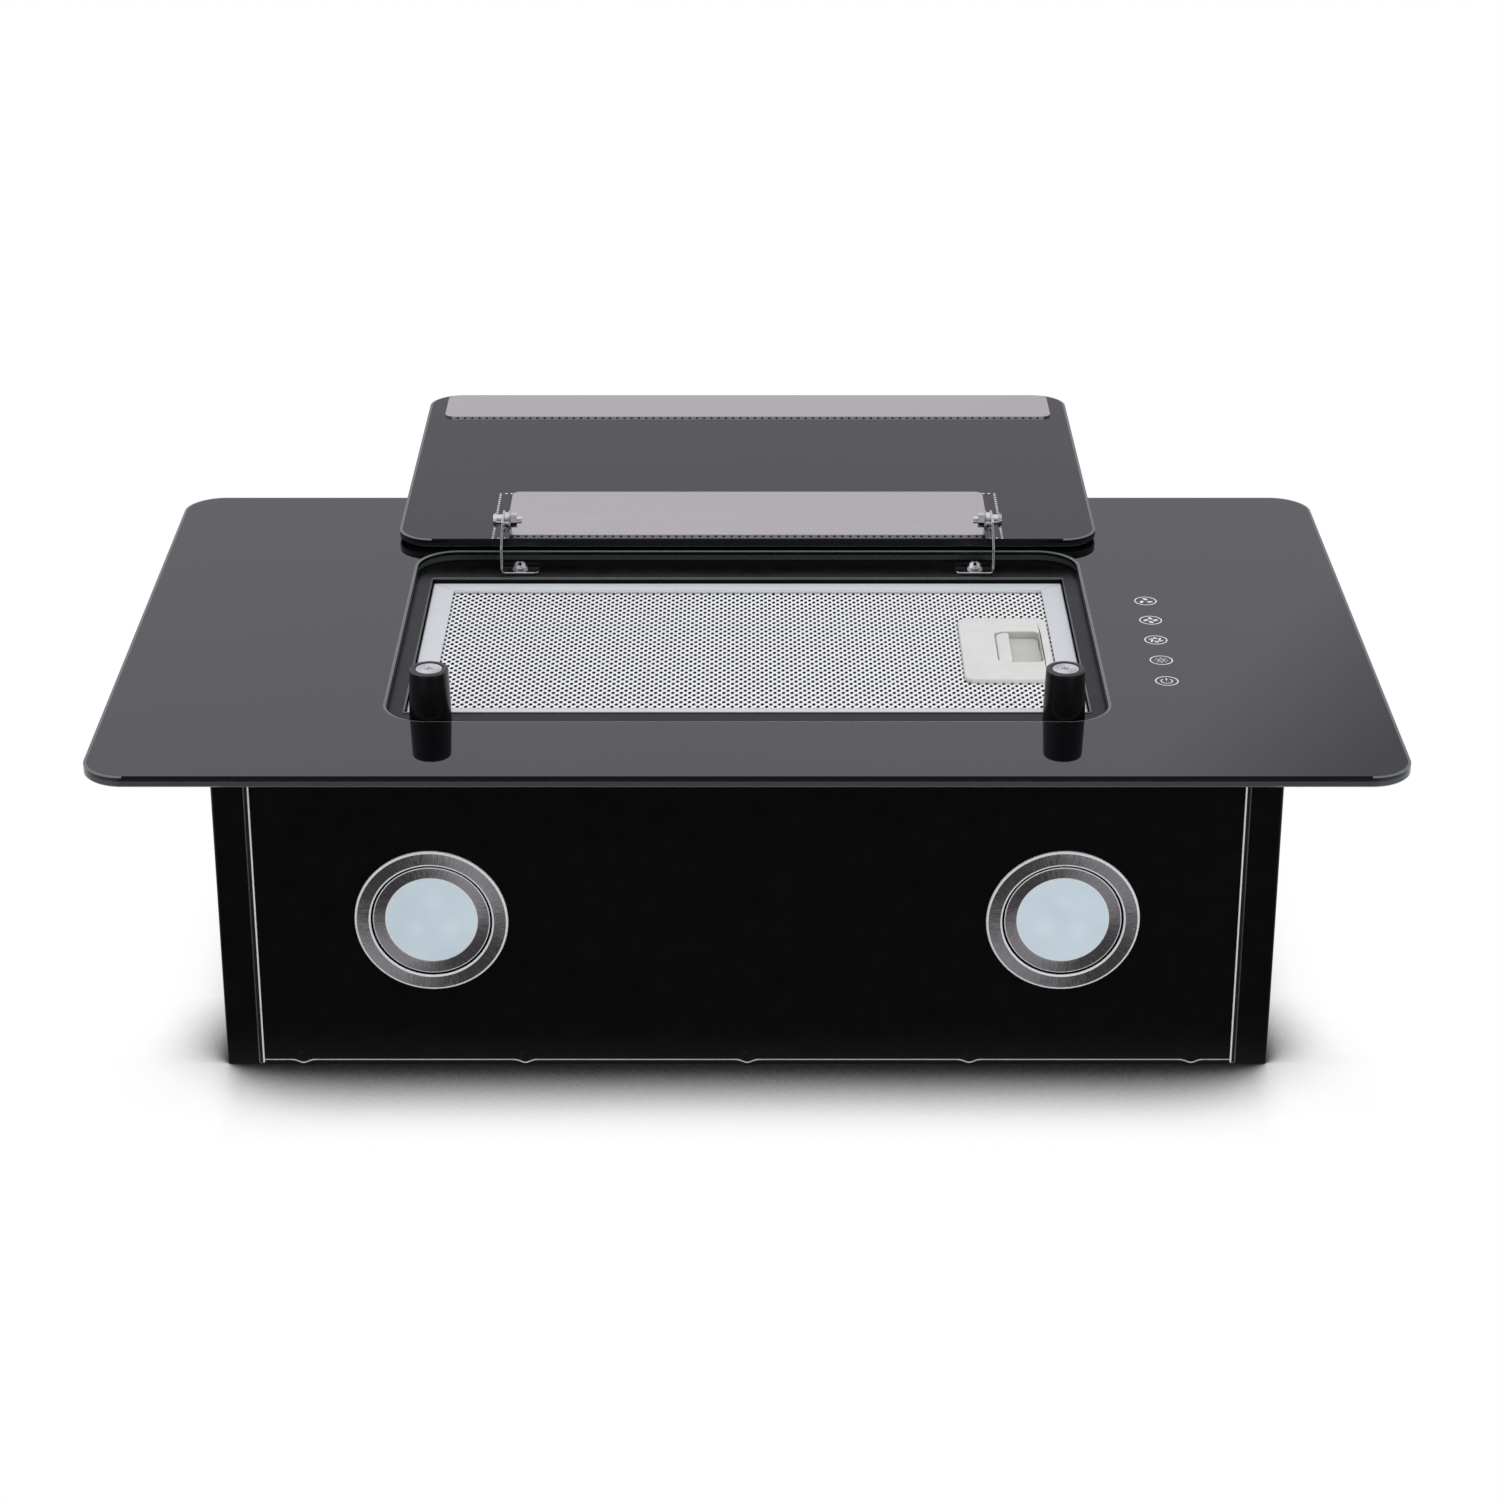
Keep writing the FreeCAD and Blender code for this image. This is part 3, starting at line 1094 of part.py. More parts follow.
def main():
    """Write every sub-part of the hood."""
    os.makedirs("parts", exist_ok=True)
    for make in SINGLE:
        save(make.__name__, make())
    for make in PAIRED:
        shape = make()
        for name, side in SIDES:
            save(make.__name__ + "_" + name, on_side(shape, side))
    for name, low, high in MESH_LAYERS:
        save(name, mesh_layer(low, high))


main()
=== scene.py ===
"""Finishes and fine surfaces of a slim wall hood that lies on its back with the filter flap open."""
import json
import math
import bpy
import numpy as np
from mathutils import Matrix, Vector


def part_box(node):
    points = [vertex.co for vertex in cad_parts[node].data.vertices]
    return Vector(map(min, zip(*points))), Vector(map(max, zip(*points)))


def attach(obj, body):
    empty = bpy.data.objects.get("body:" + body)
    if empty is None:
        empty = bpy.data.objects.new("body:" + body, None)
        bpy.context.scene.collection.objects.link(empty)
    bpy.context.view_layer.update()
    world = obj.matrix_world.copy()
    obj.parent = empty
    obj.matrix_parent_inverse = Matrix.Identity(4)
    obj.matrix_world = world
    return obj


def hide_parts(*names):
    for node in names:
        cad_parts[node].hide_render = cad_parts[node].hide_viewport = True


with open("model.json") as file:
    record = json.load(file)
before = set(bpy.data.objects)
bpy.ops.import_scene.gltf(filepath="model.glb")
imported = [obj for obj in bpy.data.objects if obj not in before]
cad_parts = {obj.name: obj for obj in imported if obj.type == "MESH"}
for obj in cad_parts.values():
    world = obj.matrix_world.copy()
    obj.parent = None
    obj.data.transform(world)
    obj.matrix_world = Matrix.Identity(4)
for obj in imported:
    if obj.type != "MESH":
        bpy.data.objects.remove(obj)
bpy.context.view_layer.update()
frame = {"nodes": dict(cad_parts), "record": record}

# Sizes are millimetres, as on the drawing, and a finished mesh is in metres
MM = 0.001

# Steps round turned and round pieces, and the small flat that closes one in its middle
TURN_STEPS = 128
ROUND_STEPS = 72
FLAT_MIDDLE = 0.2
MIDDLE_SHARE = 0.01

# Front glass, its cut-out and the flap
GLASS_CORNER = 20.0
GLASS_BEVEL = 0.7
ARRIS_WIDTH = 1.4
ARRIS_DROP = 0.33
CUT_X = 169.0
CUT_NEAR_Y = -118.9
CUT_FAR_Y = 100.5
CUT_CORNER = 20.0
FLAP_CORNER = 18.0
FLAP_BEVEL = 0.6
FLAP_FADE_Z = (155.0, 160.0)
CORNER_STEPS = 24
OUTLINE_STEPS = 4 * CORNER_STEPS
NEAR_SIDE = 3 * CORNER_STEPS - 1

# Touch keys, from the near one to the far one
KEY_X = 199.2
KEY_FIRST_Y = -71.7
KEY_PITCH = 25.7
KEY_RING = 5.6
KEY_LINE = 0.58
KEY_RING_SIDES = 64
POWER_RING = 2.7
POWER_LINE = 0.5
POWER_GAP = math.radians(40.0)
POWER_BAR_HALF = 0.3
POWER_BAR_Y = (0.7, 3.2)
POWER_BAR_CORNER = 0.2
SUN_RING = 1.45
SUN_LINE = 0.45
SUN_GAP = 0.01
RAY_COUNT = 8
RAY_PLACE = 2.9
RAY_LONG = 0.55
RAY_SHORT = 0.22
RAY_SIDES = 10
BLADE_PLACE = 2.35
BLADE_LONG = 1.5
BLADE_SHORT = 0.85
BLADE_SLIM = 0.55
BLADE_TURN = 0.7
BLADE_SIDES = 20
PRINT_THICK = 0.05
PRINT_SINK = 0.02

# Dotted lines and tapes on the flap
DOT_RADIUS = 0.68
DOT_PITCH = 2.9
DOT_SIDES = 12
DOTS_X = 132.0
DOTS_NEAR_Y = 105.0
DOTS_FAR_Y = 172.4
TAPE_DOT_RADIUS = 0.82
TAPE_DOT_PITCH = 4.1
TAPE_DOT_MARGIN = 1.5
TAPE_REACH = 3.0
TAPE_FOOT = 0.08
TAPE_END = 4.0
HINGE_SHEET_Y = 107.5
STRIP_EDGE_RADIUS = 0.3
HINGE_EDGE_INSET = 2.4
MAGNET_EDGE_INSET = 5.0

# Pierced sheet and mitred frame of the filter
MESH_X = 149.7
MESH_NEAR_Y = -87.7
MESH_FAR_Y = 64.6
HOLES_UNDER_FRAME = 4.0
HOLE_PITCH = 4.07
ROW_PITCH = 2.78
ROW_STAGGER = 0.25
HOLE_LONG = 1.4
HOLE_SHORT = 0.6
HOLE_TURN = math.radians(62.0)
HOLE_SIDES = 8
HOLE_DEPTH = 0.5
HOLE_TAPER = 0.92
STRAND_TILT = 0.32
MITRE_HALF = 0.09
MITRE_START = 0.08

# Moulded handle of the filter
HANDLE_CORNER = 5.0
HANDLE_EASE = 1.1
HANDLE_EASE_STEPS = 7
SLOT_X = (122.2, 144.2)
SLOT_Y = (-31.5, 8.5)
SLOT_MIDDLE = sum(SLOT_Y) / 2
SLOT_CORNER = 4.0
SLOT_EASE = 0.8
SLOT_FLOOR_Z = 140.6
CUP_WALL = 1.2
CUP_RIM_Z = 143.1
CHANNEL_HALF = 6.3
SLOT_BASE_Z = (142.76, 143.1)
SLOT_BASE_GAP = 0.4
BASE_WINDOW_X = (122.8, 129.15)
BASE_WINDOW_HALF = 5.0
BASE_WINDOW_CORNER = 0.5

# Latch slider in the handle, with the inset and drop of each row of its lip's edge
LIP_X = (122.7, 129.2)
LIP_Y = (-31.0, 8.0)
LIP_CORNER = 2.8
LIP_CORNER_STEPS = 8
LIP_EDGE = ((0.0, 0.7), (0.1, 0.25), (0.3, 0.06), (0.7, 0.0))
LIP_SLOPE = 1.4
LIP_UNDER_Z = 143.66
STEM_X = (123.1, 124.0)
STEM_HALF = 3.0
STEM_CORNER = 0.3
STEM_LAP = 0.2
TONGUE_HALF = 6.0
TONGUE_CORNER = 1.0
TONGUE_CORNER_STEPS = 5
TONGUE_Z = (140.9, 142.7)
SMALL_CORNER_STEPS = 4

# Lamps on the near face, with the ease of each corner of the ring from its back rim inwards
LAMP_STEP_RADIUS = 27.9
LAMP_GROOVE = 1.0
LAMP_STEP = 0.8
LAMP_EASES = (0.05, 1.05, 0.85, 0.05, 0.05, 0.4, 0.1)
LAMP_EASE_STEPS = 4
# Corners whose eased rows are painted pale as painted highlight, and the first and last corner of the
# groove's rows, painted black as painted shade
LAMP_HIGHLIGHT_CORNERS = (1, 2, 5)
LAMP_SHADE_CORNERS = (3, 5)
LENS_RADIUS = 21.4
LENS_GAP = 0.1
LENS_CROWN = 0.25
LENS_ROWS = 14
SPOT_PLACE = 9.0
SPOT_RADIUS = 6.0
LENS_RIM = (20.5, 21.1)

# Rest posts
POST_TOP_RADIUS = 9.0
POST_POWER = 1.4
POST_ROWS = 16
POST_STEPS = 96
POST_EASES = (0.8, 0.3)
POST_EASE_STEPS = 6
POST_WELL = 2.0
POST_WELL_GAP = 0.35
DISC_RADIUS = 6.1
DISC_THICK = 1.9
DISC_SINK = 0.25
DISC_RING_RADII = (5.4, 4.4, 3.2)
DISC_RING_WIDTH = 0.16
DISC_RING_DEPTH = 0.18
DISC_CROSS = (2.2, 0.5)
DISC_CROSS_DEPTH = 0.6
DISC_ROWS = 40
DISC_MIDDLE = 0.05

# Pan-head screws on the hinge brackets
SCREW_HEAD_RADIUS = 3.6
SCREW_HEAD_HEIGHT = 2.4
SCREW_FLANGE = 0.9
SCREW_DOME = 2.6
SCREW_DOME_POWER = 2.6
SCREW_DOME_SHARE = 0.86
SCREW_SPREAD = 4.1
SCREW_ROWS = 42
CROSS = (2.7, 0.7)
CROSS_DEPTH = 1.7
CROSS_WALL = 0.25

# Rolled edges of the case, painted pale as painted highlight, and dark strips in its seams as painted shade
EDGE_RADIUS = 0.42
EDGE_SINK = 0.5
SIDE_EDGE_SHARE = 0.8
SEAM_FOOT_Z = 1.0
SEAM_TOP_GAP = 2.0
# Place and foot of the dark strips in the seam gaps, painted shade
SEAM_SHADE_Y = (0.8, 4.0)
SEAM_SHADE_FOOT_Z = 0.2
FOOT_RADIUS = 0.34
FOOT_Z = 2.4
FOOT_POINTS = 401
RIVET_COUNT = 5
RIVET_PITCH = 103.7
RIVET_SPREAD = 2.9
RIVET_RISE = 1.3
RIVET_DIP = 0.9
SILL_RADIUS = 0.55
SILL_EASE = 0.8
SILL_SINK = 0.1
RECESS_X = 161.3
RECESS_Y = (-98.2, 74.8)

# Sheet edges of the hinge brackets
BRACKET_EDGE_Z = 0.75
BRACKET_EDGE_X = 0.5
BRACKET_FOOT = 11.0
BRACKET_FOOT_EASES = (2.5, 1.8)
BRACKET_FOOT_RADIUS = 0.42
BRACKET_BEND = 4.0
ARM_BEND_DROP = 10.0
ARM_END = (13.0, 1.0)
ARM_EASE = 1.5
ARM_RADIUS = 0.34
BRACKET_EASE_STEPS = 8

# View of the photograph; metres from here on
CAMERA_PLACE = (0.0013, -1.671, 0.8302)
CAMERA_PITCH = math.radians(66.0)
CAMERA_LENS = 87.76
SENSOR_WIDTH = 36.0

# Light, with each soft box's place, target, size and power
LIGHTS = (
    ("top_box", (0.0, -0.3, 2.2), (0.0, 0.0, 0.1), (2.4, 1.6), 22.0),
    ("side_box", (1.5, -1.9, 0.75), (0.0, -0.1, 0.08), (0.9, 0.9), 12.0),
)
WHITE = (1.0, 1.0, 1.0, 1.0)
MIRROR_TINT = (0.93, 0.91, 1.0, 1.0)
SKY_LIGHT = 0.55

# Fades of the sky and the floor: the level at each end, and where each end is
SKY_FRONT = (0.3, 1.0, -0.9, -0.2)
SKY_HORIZON = (0.72, 1.0, 0.3, 0.45)
SKY_RIGHT = (1.0, 0.6, 0.515, 0.573)
SKY_RIGHT_TOP = 0.41
FLOOR_FRONT = (0.2, 1.0, -0.2, -0.15)
FLOOR_SIDE = (0.0, 1.0, 0.3, 0.5)
SHADOW_MIDDLE = (0.22, 0.0, 0.1, 0.165)
SHADOW_BESIDE = (0.0, 0.05, 0.235, 0.25)

# Floor, with the tone that each share of open sky above it gives
FLOOR_HALF = 12.0
FLOOR_GREY = (0.8, 0.8, 0.8, 1.0)
SHADOW_REACH = 0.08
SHADOW_TONES = ((0.53, 0.006), (0.59, 0.067), (0.675, 0.246), (0.775, 0.565), (0.89, 0.896), (0.96, 1.0))


def extent(node):
    """Lowest and highest corner of a solid at rest, in millimetres."""
    low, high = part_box(node)
    return np.array(low) / MM, np.array(high) / MM


def plan(node):
    """Left, right, near and far side of a solid at rest, in millimetres."""
    low, high = extent(node)
    return low[0], high[0], low[1], high[1]


def quads(rows, columns):
    """Faces of a grid of points, row after row, with the last column joined to the first."""
    index = np.arange(rows * columns).reshape(rows, columns)
    index = np.column_stack((index, index[:, :1]))
    corners = (index[:-1, :-1], index[:-1, 1:], index[1:, 1:], index[1:, :-1])
    return np.stack(corners, axis=-1).reshape(-1, 4)


def outward(points, faces):
    """Closed skin with its faces turned so that the sum of a . (b x c) over each face's fan is positive."""
    grid, caps = faces
    fans = [grid[:, (0, 1, 2)], grid[:, (0, 2, 3)]]
    fans += [np.column_stack((np.full(len(cap) - 2, cap[0]), cap[1:-1], cap[2:])) for cap in caps]
    a, b, c = points[np.concatenate(fans)].transpose(1, 0, 2)
    if np.einsum("ij,ij->", a, np.cross(b, c)) < 0:
        faces = grid[:, ::-1], [cap[::-1] for cap in caps]
    return points, faces


def loft(loops, ring=False):
    """Closed skin over loops of equal count, point (i, k) = loops[i][k]: flat at both ends, or a ring.

    A skin is its points and its faces, and the faces are a grid of four-cornered ones and a list
    of flat caps.
    """
    loops = np.asarray(loops, dtype=float)
    rows, count, _ = loops.shape
    caps = [] if ring else [np.arange(count)[::-1], np.arange((rows - 1) * count, rows * count)]
    return outward(loops.reshape(-1, 3), (quads(rows + ring, count) % (rows * count), caps))


def merged(*skins):
    """One skin from several: points stacked and face numbers shifted, with the caps after the grids."""
    starts = np.cumsum([0] + [len(points) for points, _ in skins])
    grids = [faces[0] + start for (_, faces), start in zip(skins, starts)]
    caps = [cap + start for (_, faces), start in zip(skins, starts) for cap in faces[1]]
    return np.concatenate([points for points, _ in skins]), (np.concatenate(grids), caps)


def both_sides(*skins):
    """Skins of the right side, each with its mirror image."""
    pairs = [((points, faces), outward(points * (-1.0, 1.0, 1.0), faces)) for points, faces in skins]
    return merged(*[skin for pair in pairs for skin in pair])


def add_piece(name, skin, finish, body, stands_for=None, crease=35.0):
    """Mesh object from a skin in millimetres; edges sharper than the crease angle stay hard."""
    points, (grid, caps) = skin
    mesh = bpy.data.meshes.new(name)
    mesh.from_pydata((points * MM).tolist(), [], grid.tolist() + [cap.tolist() for cap in caps])
    mesh.shade_smooth()
    mesh.set_sharp_from_angle(angle=math.radians(crease))
    mesh.materials.append(finish_of[finish])
    piece = bpy.data.objects.new(name, mesh)
    bpy.context.scene.collection.objects.link(piece)
    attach(piece, body)
    if stands_for:
        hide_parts(stands_for)
    return piece


def paint(piece, finish, faces):
    """Give some faces of a piece, by number, a finish of their own."""
    piece.data.materials.append(finish_of[finish])
    index = np.empty(len(piece.data.polygons), dtype=np.int32)
    piece.data.polygons.foreach_get("material_index", index)
    index[faces] = len(piece.data.materials) - 1
    piece.data.polygons.foreach_set("material_index", index)


def strips(count, numbers):
    """Numbers of the faces in whole strips of a skin, which has `count` faces to a strip."""
    return (np.array(numbers)[:, None] * count + np.arange(count)).ravel()


def unit(rows):
    """Each row as a vector of length one."""
    return rows / np.linalg.norm(rows, axis=1, keepdims=True)


def eased(corners, ease, steps=5):
    """Polyline with each corner P rounded: (1-s)^2 A + 2 s (1-s) P + s^2 B, A and B at `ease` from P."""
    corners = np.asarray(corners, dtype=float)
    middle = corners[1:-1]
    ease = np.broadcast_to(np.asarray(ease, dtype=float), len(middle))[:, None]
    start = middle + unit(corners[:-2] - middle) * ease
    end = middle + unit(corners[2:] - middle) * ease
    s = np.linspace(0.0, 1.0, steps)[None, :, None]
    curve = (1 - s) ** 2 * start[:, None] + 2 * s * (1 - s) * middle[:, None] + s ** 2 * end[:, None]
    return np.concatenate((corners[:1], curve.reshape(-1, corners.shape[1]), corners[-1:]))


def full_turn(steps):
    """Even angles round a circle."""
    return np.linspace(0.0, 2 * math.pi, steps, endpoint=False)


def rectangle(x0, x1, y0, y1):
    """Corners of a rectangle, from the far right one round by the left."""
    return np.array([(x1, y1), (x0, y1), (x0, y0), (x1, y0)])


def round_rectangle(x0, x1, y0, y1, radius, inset=0.0, steps=CORNER_STEPS):
    """Rectangle moved in by inset: each corner's arc is centre + (radius - inset) (cos a, sin a)."""
    quarter = np.linspace(0.0, math.pi / 2, steps)
    angle = (np.arange(4)[:, None] * math.pi / 2 + quarter).ravel()
    centre = np.repeat(rectangle(x0 + radius, x1 - radius, y0 + radius, y1 - radius), steps, axis=0)
    return centre + (radius - inset) * np.column_stack((np.cos(angle), np.sin(angle)))


def at_height(outline, z):
    """Flat outline lifted to one height, or to a height for each point."""
    return np.column_stack((outline, np.broadcast_to(z, len(outline))))


def spun(profile, centre, axis, steps):
    """Loops of a turned shape: centre + radius (u cos a + v sin a) + height axis, row by row."""
    profile = np.asarray(profile, dtype=float)
    axis = np.asarray(axis, dtype=float)
    u = np.roll(axis, 1)
    v = np.cross(axis, u)
    angle = full_turn(steps)
    spoke = np.cos(angle)[:, None] * u + np.sin(angle)[:, None] * v
    return np.asarray(centre) + profile[:, :1, None] * spoke + profile[:, 1:, None] * axis


def bead(path, radius, sides=10):
    """Round rod: path + radius (u cos a + v sin a), where u and v are square to the path's direction."""
    path = np.asarray(path, dtype=float)
    along = unit(np.gradient(path, axis=0))
    off_path = (0.31, 0.53, 0.79)
    u = unit(np.cross(along, off_path))
    v = np.cross(along, u)
    angle = full_turn(sides)
    ring = np.cos(angle)[None, :, None] * u[:, None] + np.sin(angle)[None, :, None] * v[:, None]
    return loft(path[:, None] + radius * ring)


def prism(outline, z0, z1):
    """Flat outline raised from z0 to z1."""
    return loft([at_height(outline, z0), at_height(outline, z1)])


def band(inner, outer, z0, z1):
    """Flat ring between two outlines of equal count, raised from z0 to z1."""
    corners = ((inner, z0), (outer, z0), (outer, z1), (inner, z1))
    return loft([at_height(outline, z) for outline, z in corners], ring=True)


def ellipse(centre, long, short, turn, steps):
    """Turned ellipse: centre + R(turn) (long cos a, short sin a)."""
    angle = full_turn(steps)
    x = long * np.cos(angle)
    y = short * np.sin(angle)
    c, s = math.cos(turn), math.sin(turn)
    return np.column_stack((centre[0] + c * x - s * y, centre[1] + s * x + c * y))


def arc_stroke(radius, width, start, end, steps=40):
    """Outline of a stroke along an arc, out along the outer radius and back along the inner one."""
    angle = np.linspace(start, end, steps)
    spoke = np.column_stack((np.cos(angle), np.sin(angle)))
    outer = (radius + width / 2) * spoke
    inner = (radius - width / 2) * spoke[::-1]
    return np.concatenate((outer, inner))


def polar_grid(radius):
    """Rings and spokes about an axis, from the rim inwards: r, x = r cos a and y = r sin a."""
    r, a = np.meshgrid(radius, full_turn(ROUND_STEPS), indexing="ij")
    return r, r * np.cos(a), r * np.sin(a)


def headed(x, y, z, base_z):
    """Round head from a face on a polar grid, closed by its rim carried down to a flat base."""
    face = np.stack((x, y, z), axis=-1)
    base = face[:1].copy()
    base[..., 2] = base_z
    return loft(np.concatenate((base, face)))


def cross_mask(x, y, reach, width):
    """One inside a plus sign and zero outside, with soft walls."""
    def slot(along, across):
        ends = np.clip((reach - np.abs(along)) / CROSS_WALL, 0, 1)
        return ends * np.clip((width - np.abs(across)) / CROSS_WALL + 0.5, 0, 1)
    return np.maximum(slot(x, y), slot(y, x))


finish_of = {}


class Nodes:
    """Nodes of one shader, each made with its links."""

    def __init__(self, owner):
        owner.use_nodes = True
        self.tree = owner.node_tree

    def node(self, kind, links=None, **settings):
        """New node with its settings and, by socket name or number, its links or values."""
        made = self.tree.nodes.new("ShaderNode" + kind)
        for key, value in settings.items():
            setattr(made, key, value)
        for socket, value in (links or {}).items():
            if isinstance(value, bpy.types.NodeSocket):
                self.tree.links.new(value, made.inputs[socket])
            else:
                made.inputs[socket].default_value = value
        return made

    def first(self, kind, links=None, **settings):
        """First output of a new node."""
        return self.node(kind, links, **settings).outputs[0]

    def math(self, operation, first, second=0.0):
        """One sum."""
        return self.first("Math", {0: first, 1: second}, operation=operation)

    def spread(self, value, low, high, start=0.0, end=1.0):
        """Value moved from start..end to low..high."""
        links = {"Value": value, "From Min": start, "From Max": end, "To Min": low, "To Max": high}
        return self.first("MapRange", links)

    def colours(self, value, *stops):
        """Colour ramp over stops of a position and a colour, or one number for a grey."""
        ramp = self.node("ValToRGB", {"Fac": value})
        elements = ramp.color_ramp.elements
        while len(elements) < len(stops):
            elements.new(1.0)
        for element, (position, colour) in zip(elements, stops):
            element.position = position
            element.color = (*np.broadcast_to(colour, 3), 1.0)
        return ramp.outputs[0]


class Finish(Nodes):
    """One material: a Principled surface with patterns read from Object coordinates."""

    def __init__(self, name, **sockets):
        finish_of[name] = bpy.data.materials.new(name)
        super().__init__(finish_of[name])
        self.surface = self.tree.nodes["Principled BSDF"]
        for socket, value in sockets.items():
            self.surface.inputs[socket.replace("_", " ")].default_value = value
        self.place = self.node("TexCoord").outputs["Object"]

    def feed(self, socket, output):
        """Link an output to a socket of the surface."""
        self.tree.links.new(output, self.surface.inputs[socket])

    def noise(self, scale, detail=3.0, vector=None, rough=0.55):
        """Cloudy value from 0 to 1."""
        links = {"Vector": vector or self.place, "Scale": scale, "Detail": detail, "Roughness": rough}
        return self.first("TexNoise", links)

    def brushed(self, streak):
        """Brush lines: a cloudy value whose coordinates are multiplied along each axis."""
        return self.noise(3.0, 5.0, self.first("Mapping", {"Vector": self.place, "Scale": streak}), 0.7)

    def cells(self, scale, output):
        """Crystal-like cells."""
        return self.node("TexVoronoi", {"Vector": self.place, "Scale": scale}).outputs[output]

    def relief(self, height, distance, strength):
        """Small relief on the surface, as deep as the distance in metres."""
        links = {"Height": height, "Distance": distance, "Strength": strength}
        self.feed("Normal", self.first("Bump", links))

    def shade(self, value, low, high, rough):
        """Colour between two tones and roughness between two levels, both from one pattern."""
        self.feed("Base Color", self.colours(value, (0.3, low), (0.7, high)))
        self.feed("Roughness", self.spread(value, *rough, 0.3, 0.7))


def cloudy(name, scale, detail, low, high, rough, **sockets):
    """Plain finish: two tones and two levels of roughness over one cloudy pattern."""
    finish = Finish(name, **sockets)
    finish.shade(finish.noise(scale, detail), low, high, rough)


def streaked(name, streak, low, high, rough):
    """Metal with fine brush lines along one axis."""
    metal = Finish(name, Metallic=1.0)
    lines = metal.brushed(streak)
    metal.relief(lines, 0.00001, 0.3)
    metal.shade(lines, low, high, rough)


def grained(name, grain, cloud, low, high, rough, level):
    """Paint or moulded plastic: a cloudy tone over a fine grain; level sets how much it mirrors."""
    skin = Finish(name, Specular_IOR_Level=level)
    skin.relief(skin.noise(grain[0], 3.0), 0.00002, grain[1])
    skin.shade(skin.noise(*cloud), low, high, rough)


def moulded(name, low, high, rough, level=0.5):
    """Moulded plastic with a fine spark-eroded grain."""
    grained(name, (1500.0, 0.3), (120.0, 4.0), low, high, rough, level)


def galvanised(name, low, high):
    """Zinc-coated sheet with its spangle of crystals."""
    sheet = Finish(name, Metallic=1.0)
    warp = sheet.math("MULTIPLY", sheet.noise(30.0, 2.0), 0.3)
    spangle = sheet.math("MULTIPLY", sheet.first("SeparateColor", {0: sheet.cells(75.0, "Color")}), 0.7)
    cool = np.array((0.98, 1.0, 1.02))
    sheet.shade(sheet.math("ADD", spangle, warp), low * cool, high * cool, (0.3, 0.5))


def painted_edge_light_and_shade(name, low, high):
    """Metal laid on rounded edges in place of the light and shade they catch: a painted highlight where it
    is paler than its part, painted shade where it is darker.
    """
    cloudy(name, 500.0, 3.0, low, (high, high, 1.03 * high), (0.34, 0.44), Metallic=1.0)


def glass_edge(name, low, high, pale):
    """Ground edge of a glass, read from the height: nearly black at the top and grey-green below; the
    grey-green is the glass's own edge tone, kept to the lower part as a painted reflection of the floor.
    """
    edge = Finish(name, Specular_IOR_Level=0.4)
    height = edge.node("SeparateXYZ", {0: edge.place}).outputs[2]
    share = edge.spread(height, 0.0, 1.0, low * MM, high * MM)
    cloud = edge.noise(900.0, 4.0)
    grain = edge.math("MULTIPLY", edge.math("SUBTRACT", cloud, 0.5), 0.2)
    dark = (0.003, 0.004, 0.004)
    edge.feed("Base Color", edge.colours(edge.math("ADD", share, grain), (0.55, pale), (0.66, dark)))
    edge.feed("Roughness", edge.spread(cloud, 0.12, 0.24))


def lamp_place(finish):
    """X and Z of a point from the axis of the lamp on its side, and its distance from that axis."""
    low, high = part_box("light_bezel_right")
    parts = finish.node("SeparateXYZ", {0: finish.place}).outputs
    axis = finish.math("MULTIPLY", finish.math("SIGN", parts[0]), (low[0] + high[0]) / 2)
    x = finish.math("SUBTRACT", parts[0], axis)
    z = finish.math("SUBTRACT", parts[2], (low[2] + high[2]) / 2)
    square = finish.math("ADD", finish.math("MULTIPLY", x, x), finish.math("MULTIPLY", z, z))
    return x, z, finish.math("SQRT", square)


def frosted_lens():
    """Frosted lens with a pale rim and three faint warm spots from the diodes behind it."""
    lens = Finish("frosted_lens", Specular_IOR_Level=0.3)
    x, z, radius = lamp_place(lens)
    flat = lens.first("CombineXYZ", {0: x, 2: z})
    value = lens.math("MULTIPLY", lens.noise(60.0, 3.0), 0.7)
    for turn in (90.0, 210.0, 330.0):
        angle = math.radians(turn)
        spot = (SPOT_PLACE * MM * math.cos(angle), 0.0, SPOT_PLACE * MM * math.sin(angle))
        away = lens.node("VectorMath", {0: flat, 1: spot}, operation="DISTANCE").outputs[1]
        value = lens.math("ADD", value, lens.spread(away, 0.3, 0.0, 0.0, SPOT_RADIUS * MM))
    rim = lens.spread(radius, 0.0, 0.9, LENS_RIM[0] * MM, LENS_RIM[1] * MM)
    stops = ((0.2, (0.62, 0.73, 0.81)), (0.5, (0.68, 0.79, 0.87)), (1.0, (0.8, 0.86, 0.83)))
    lens.feed("Base Color", lens.colours(lens.math("ADD", value, rim), *stops))
    lens.feed("Roughness", lens.spread(lens.noise(900.0, 2.0), 0.42, 0.55))


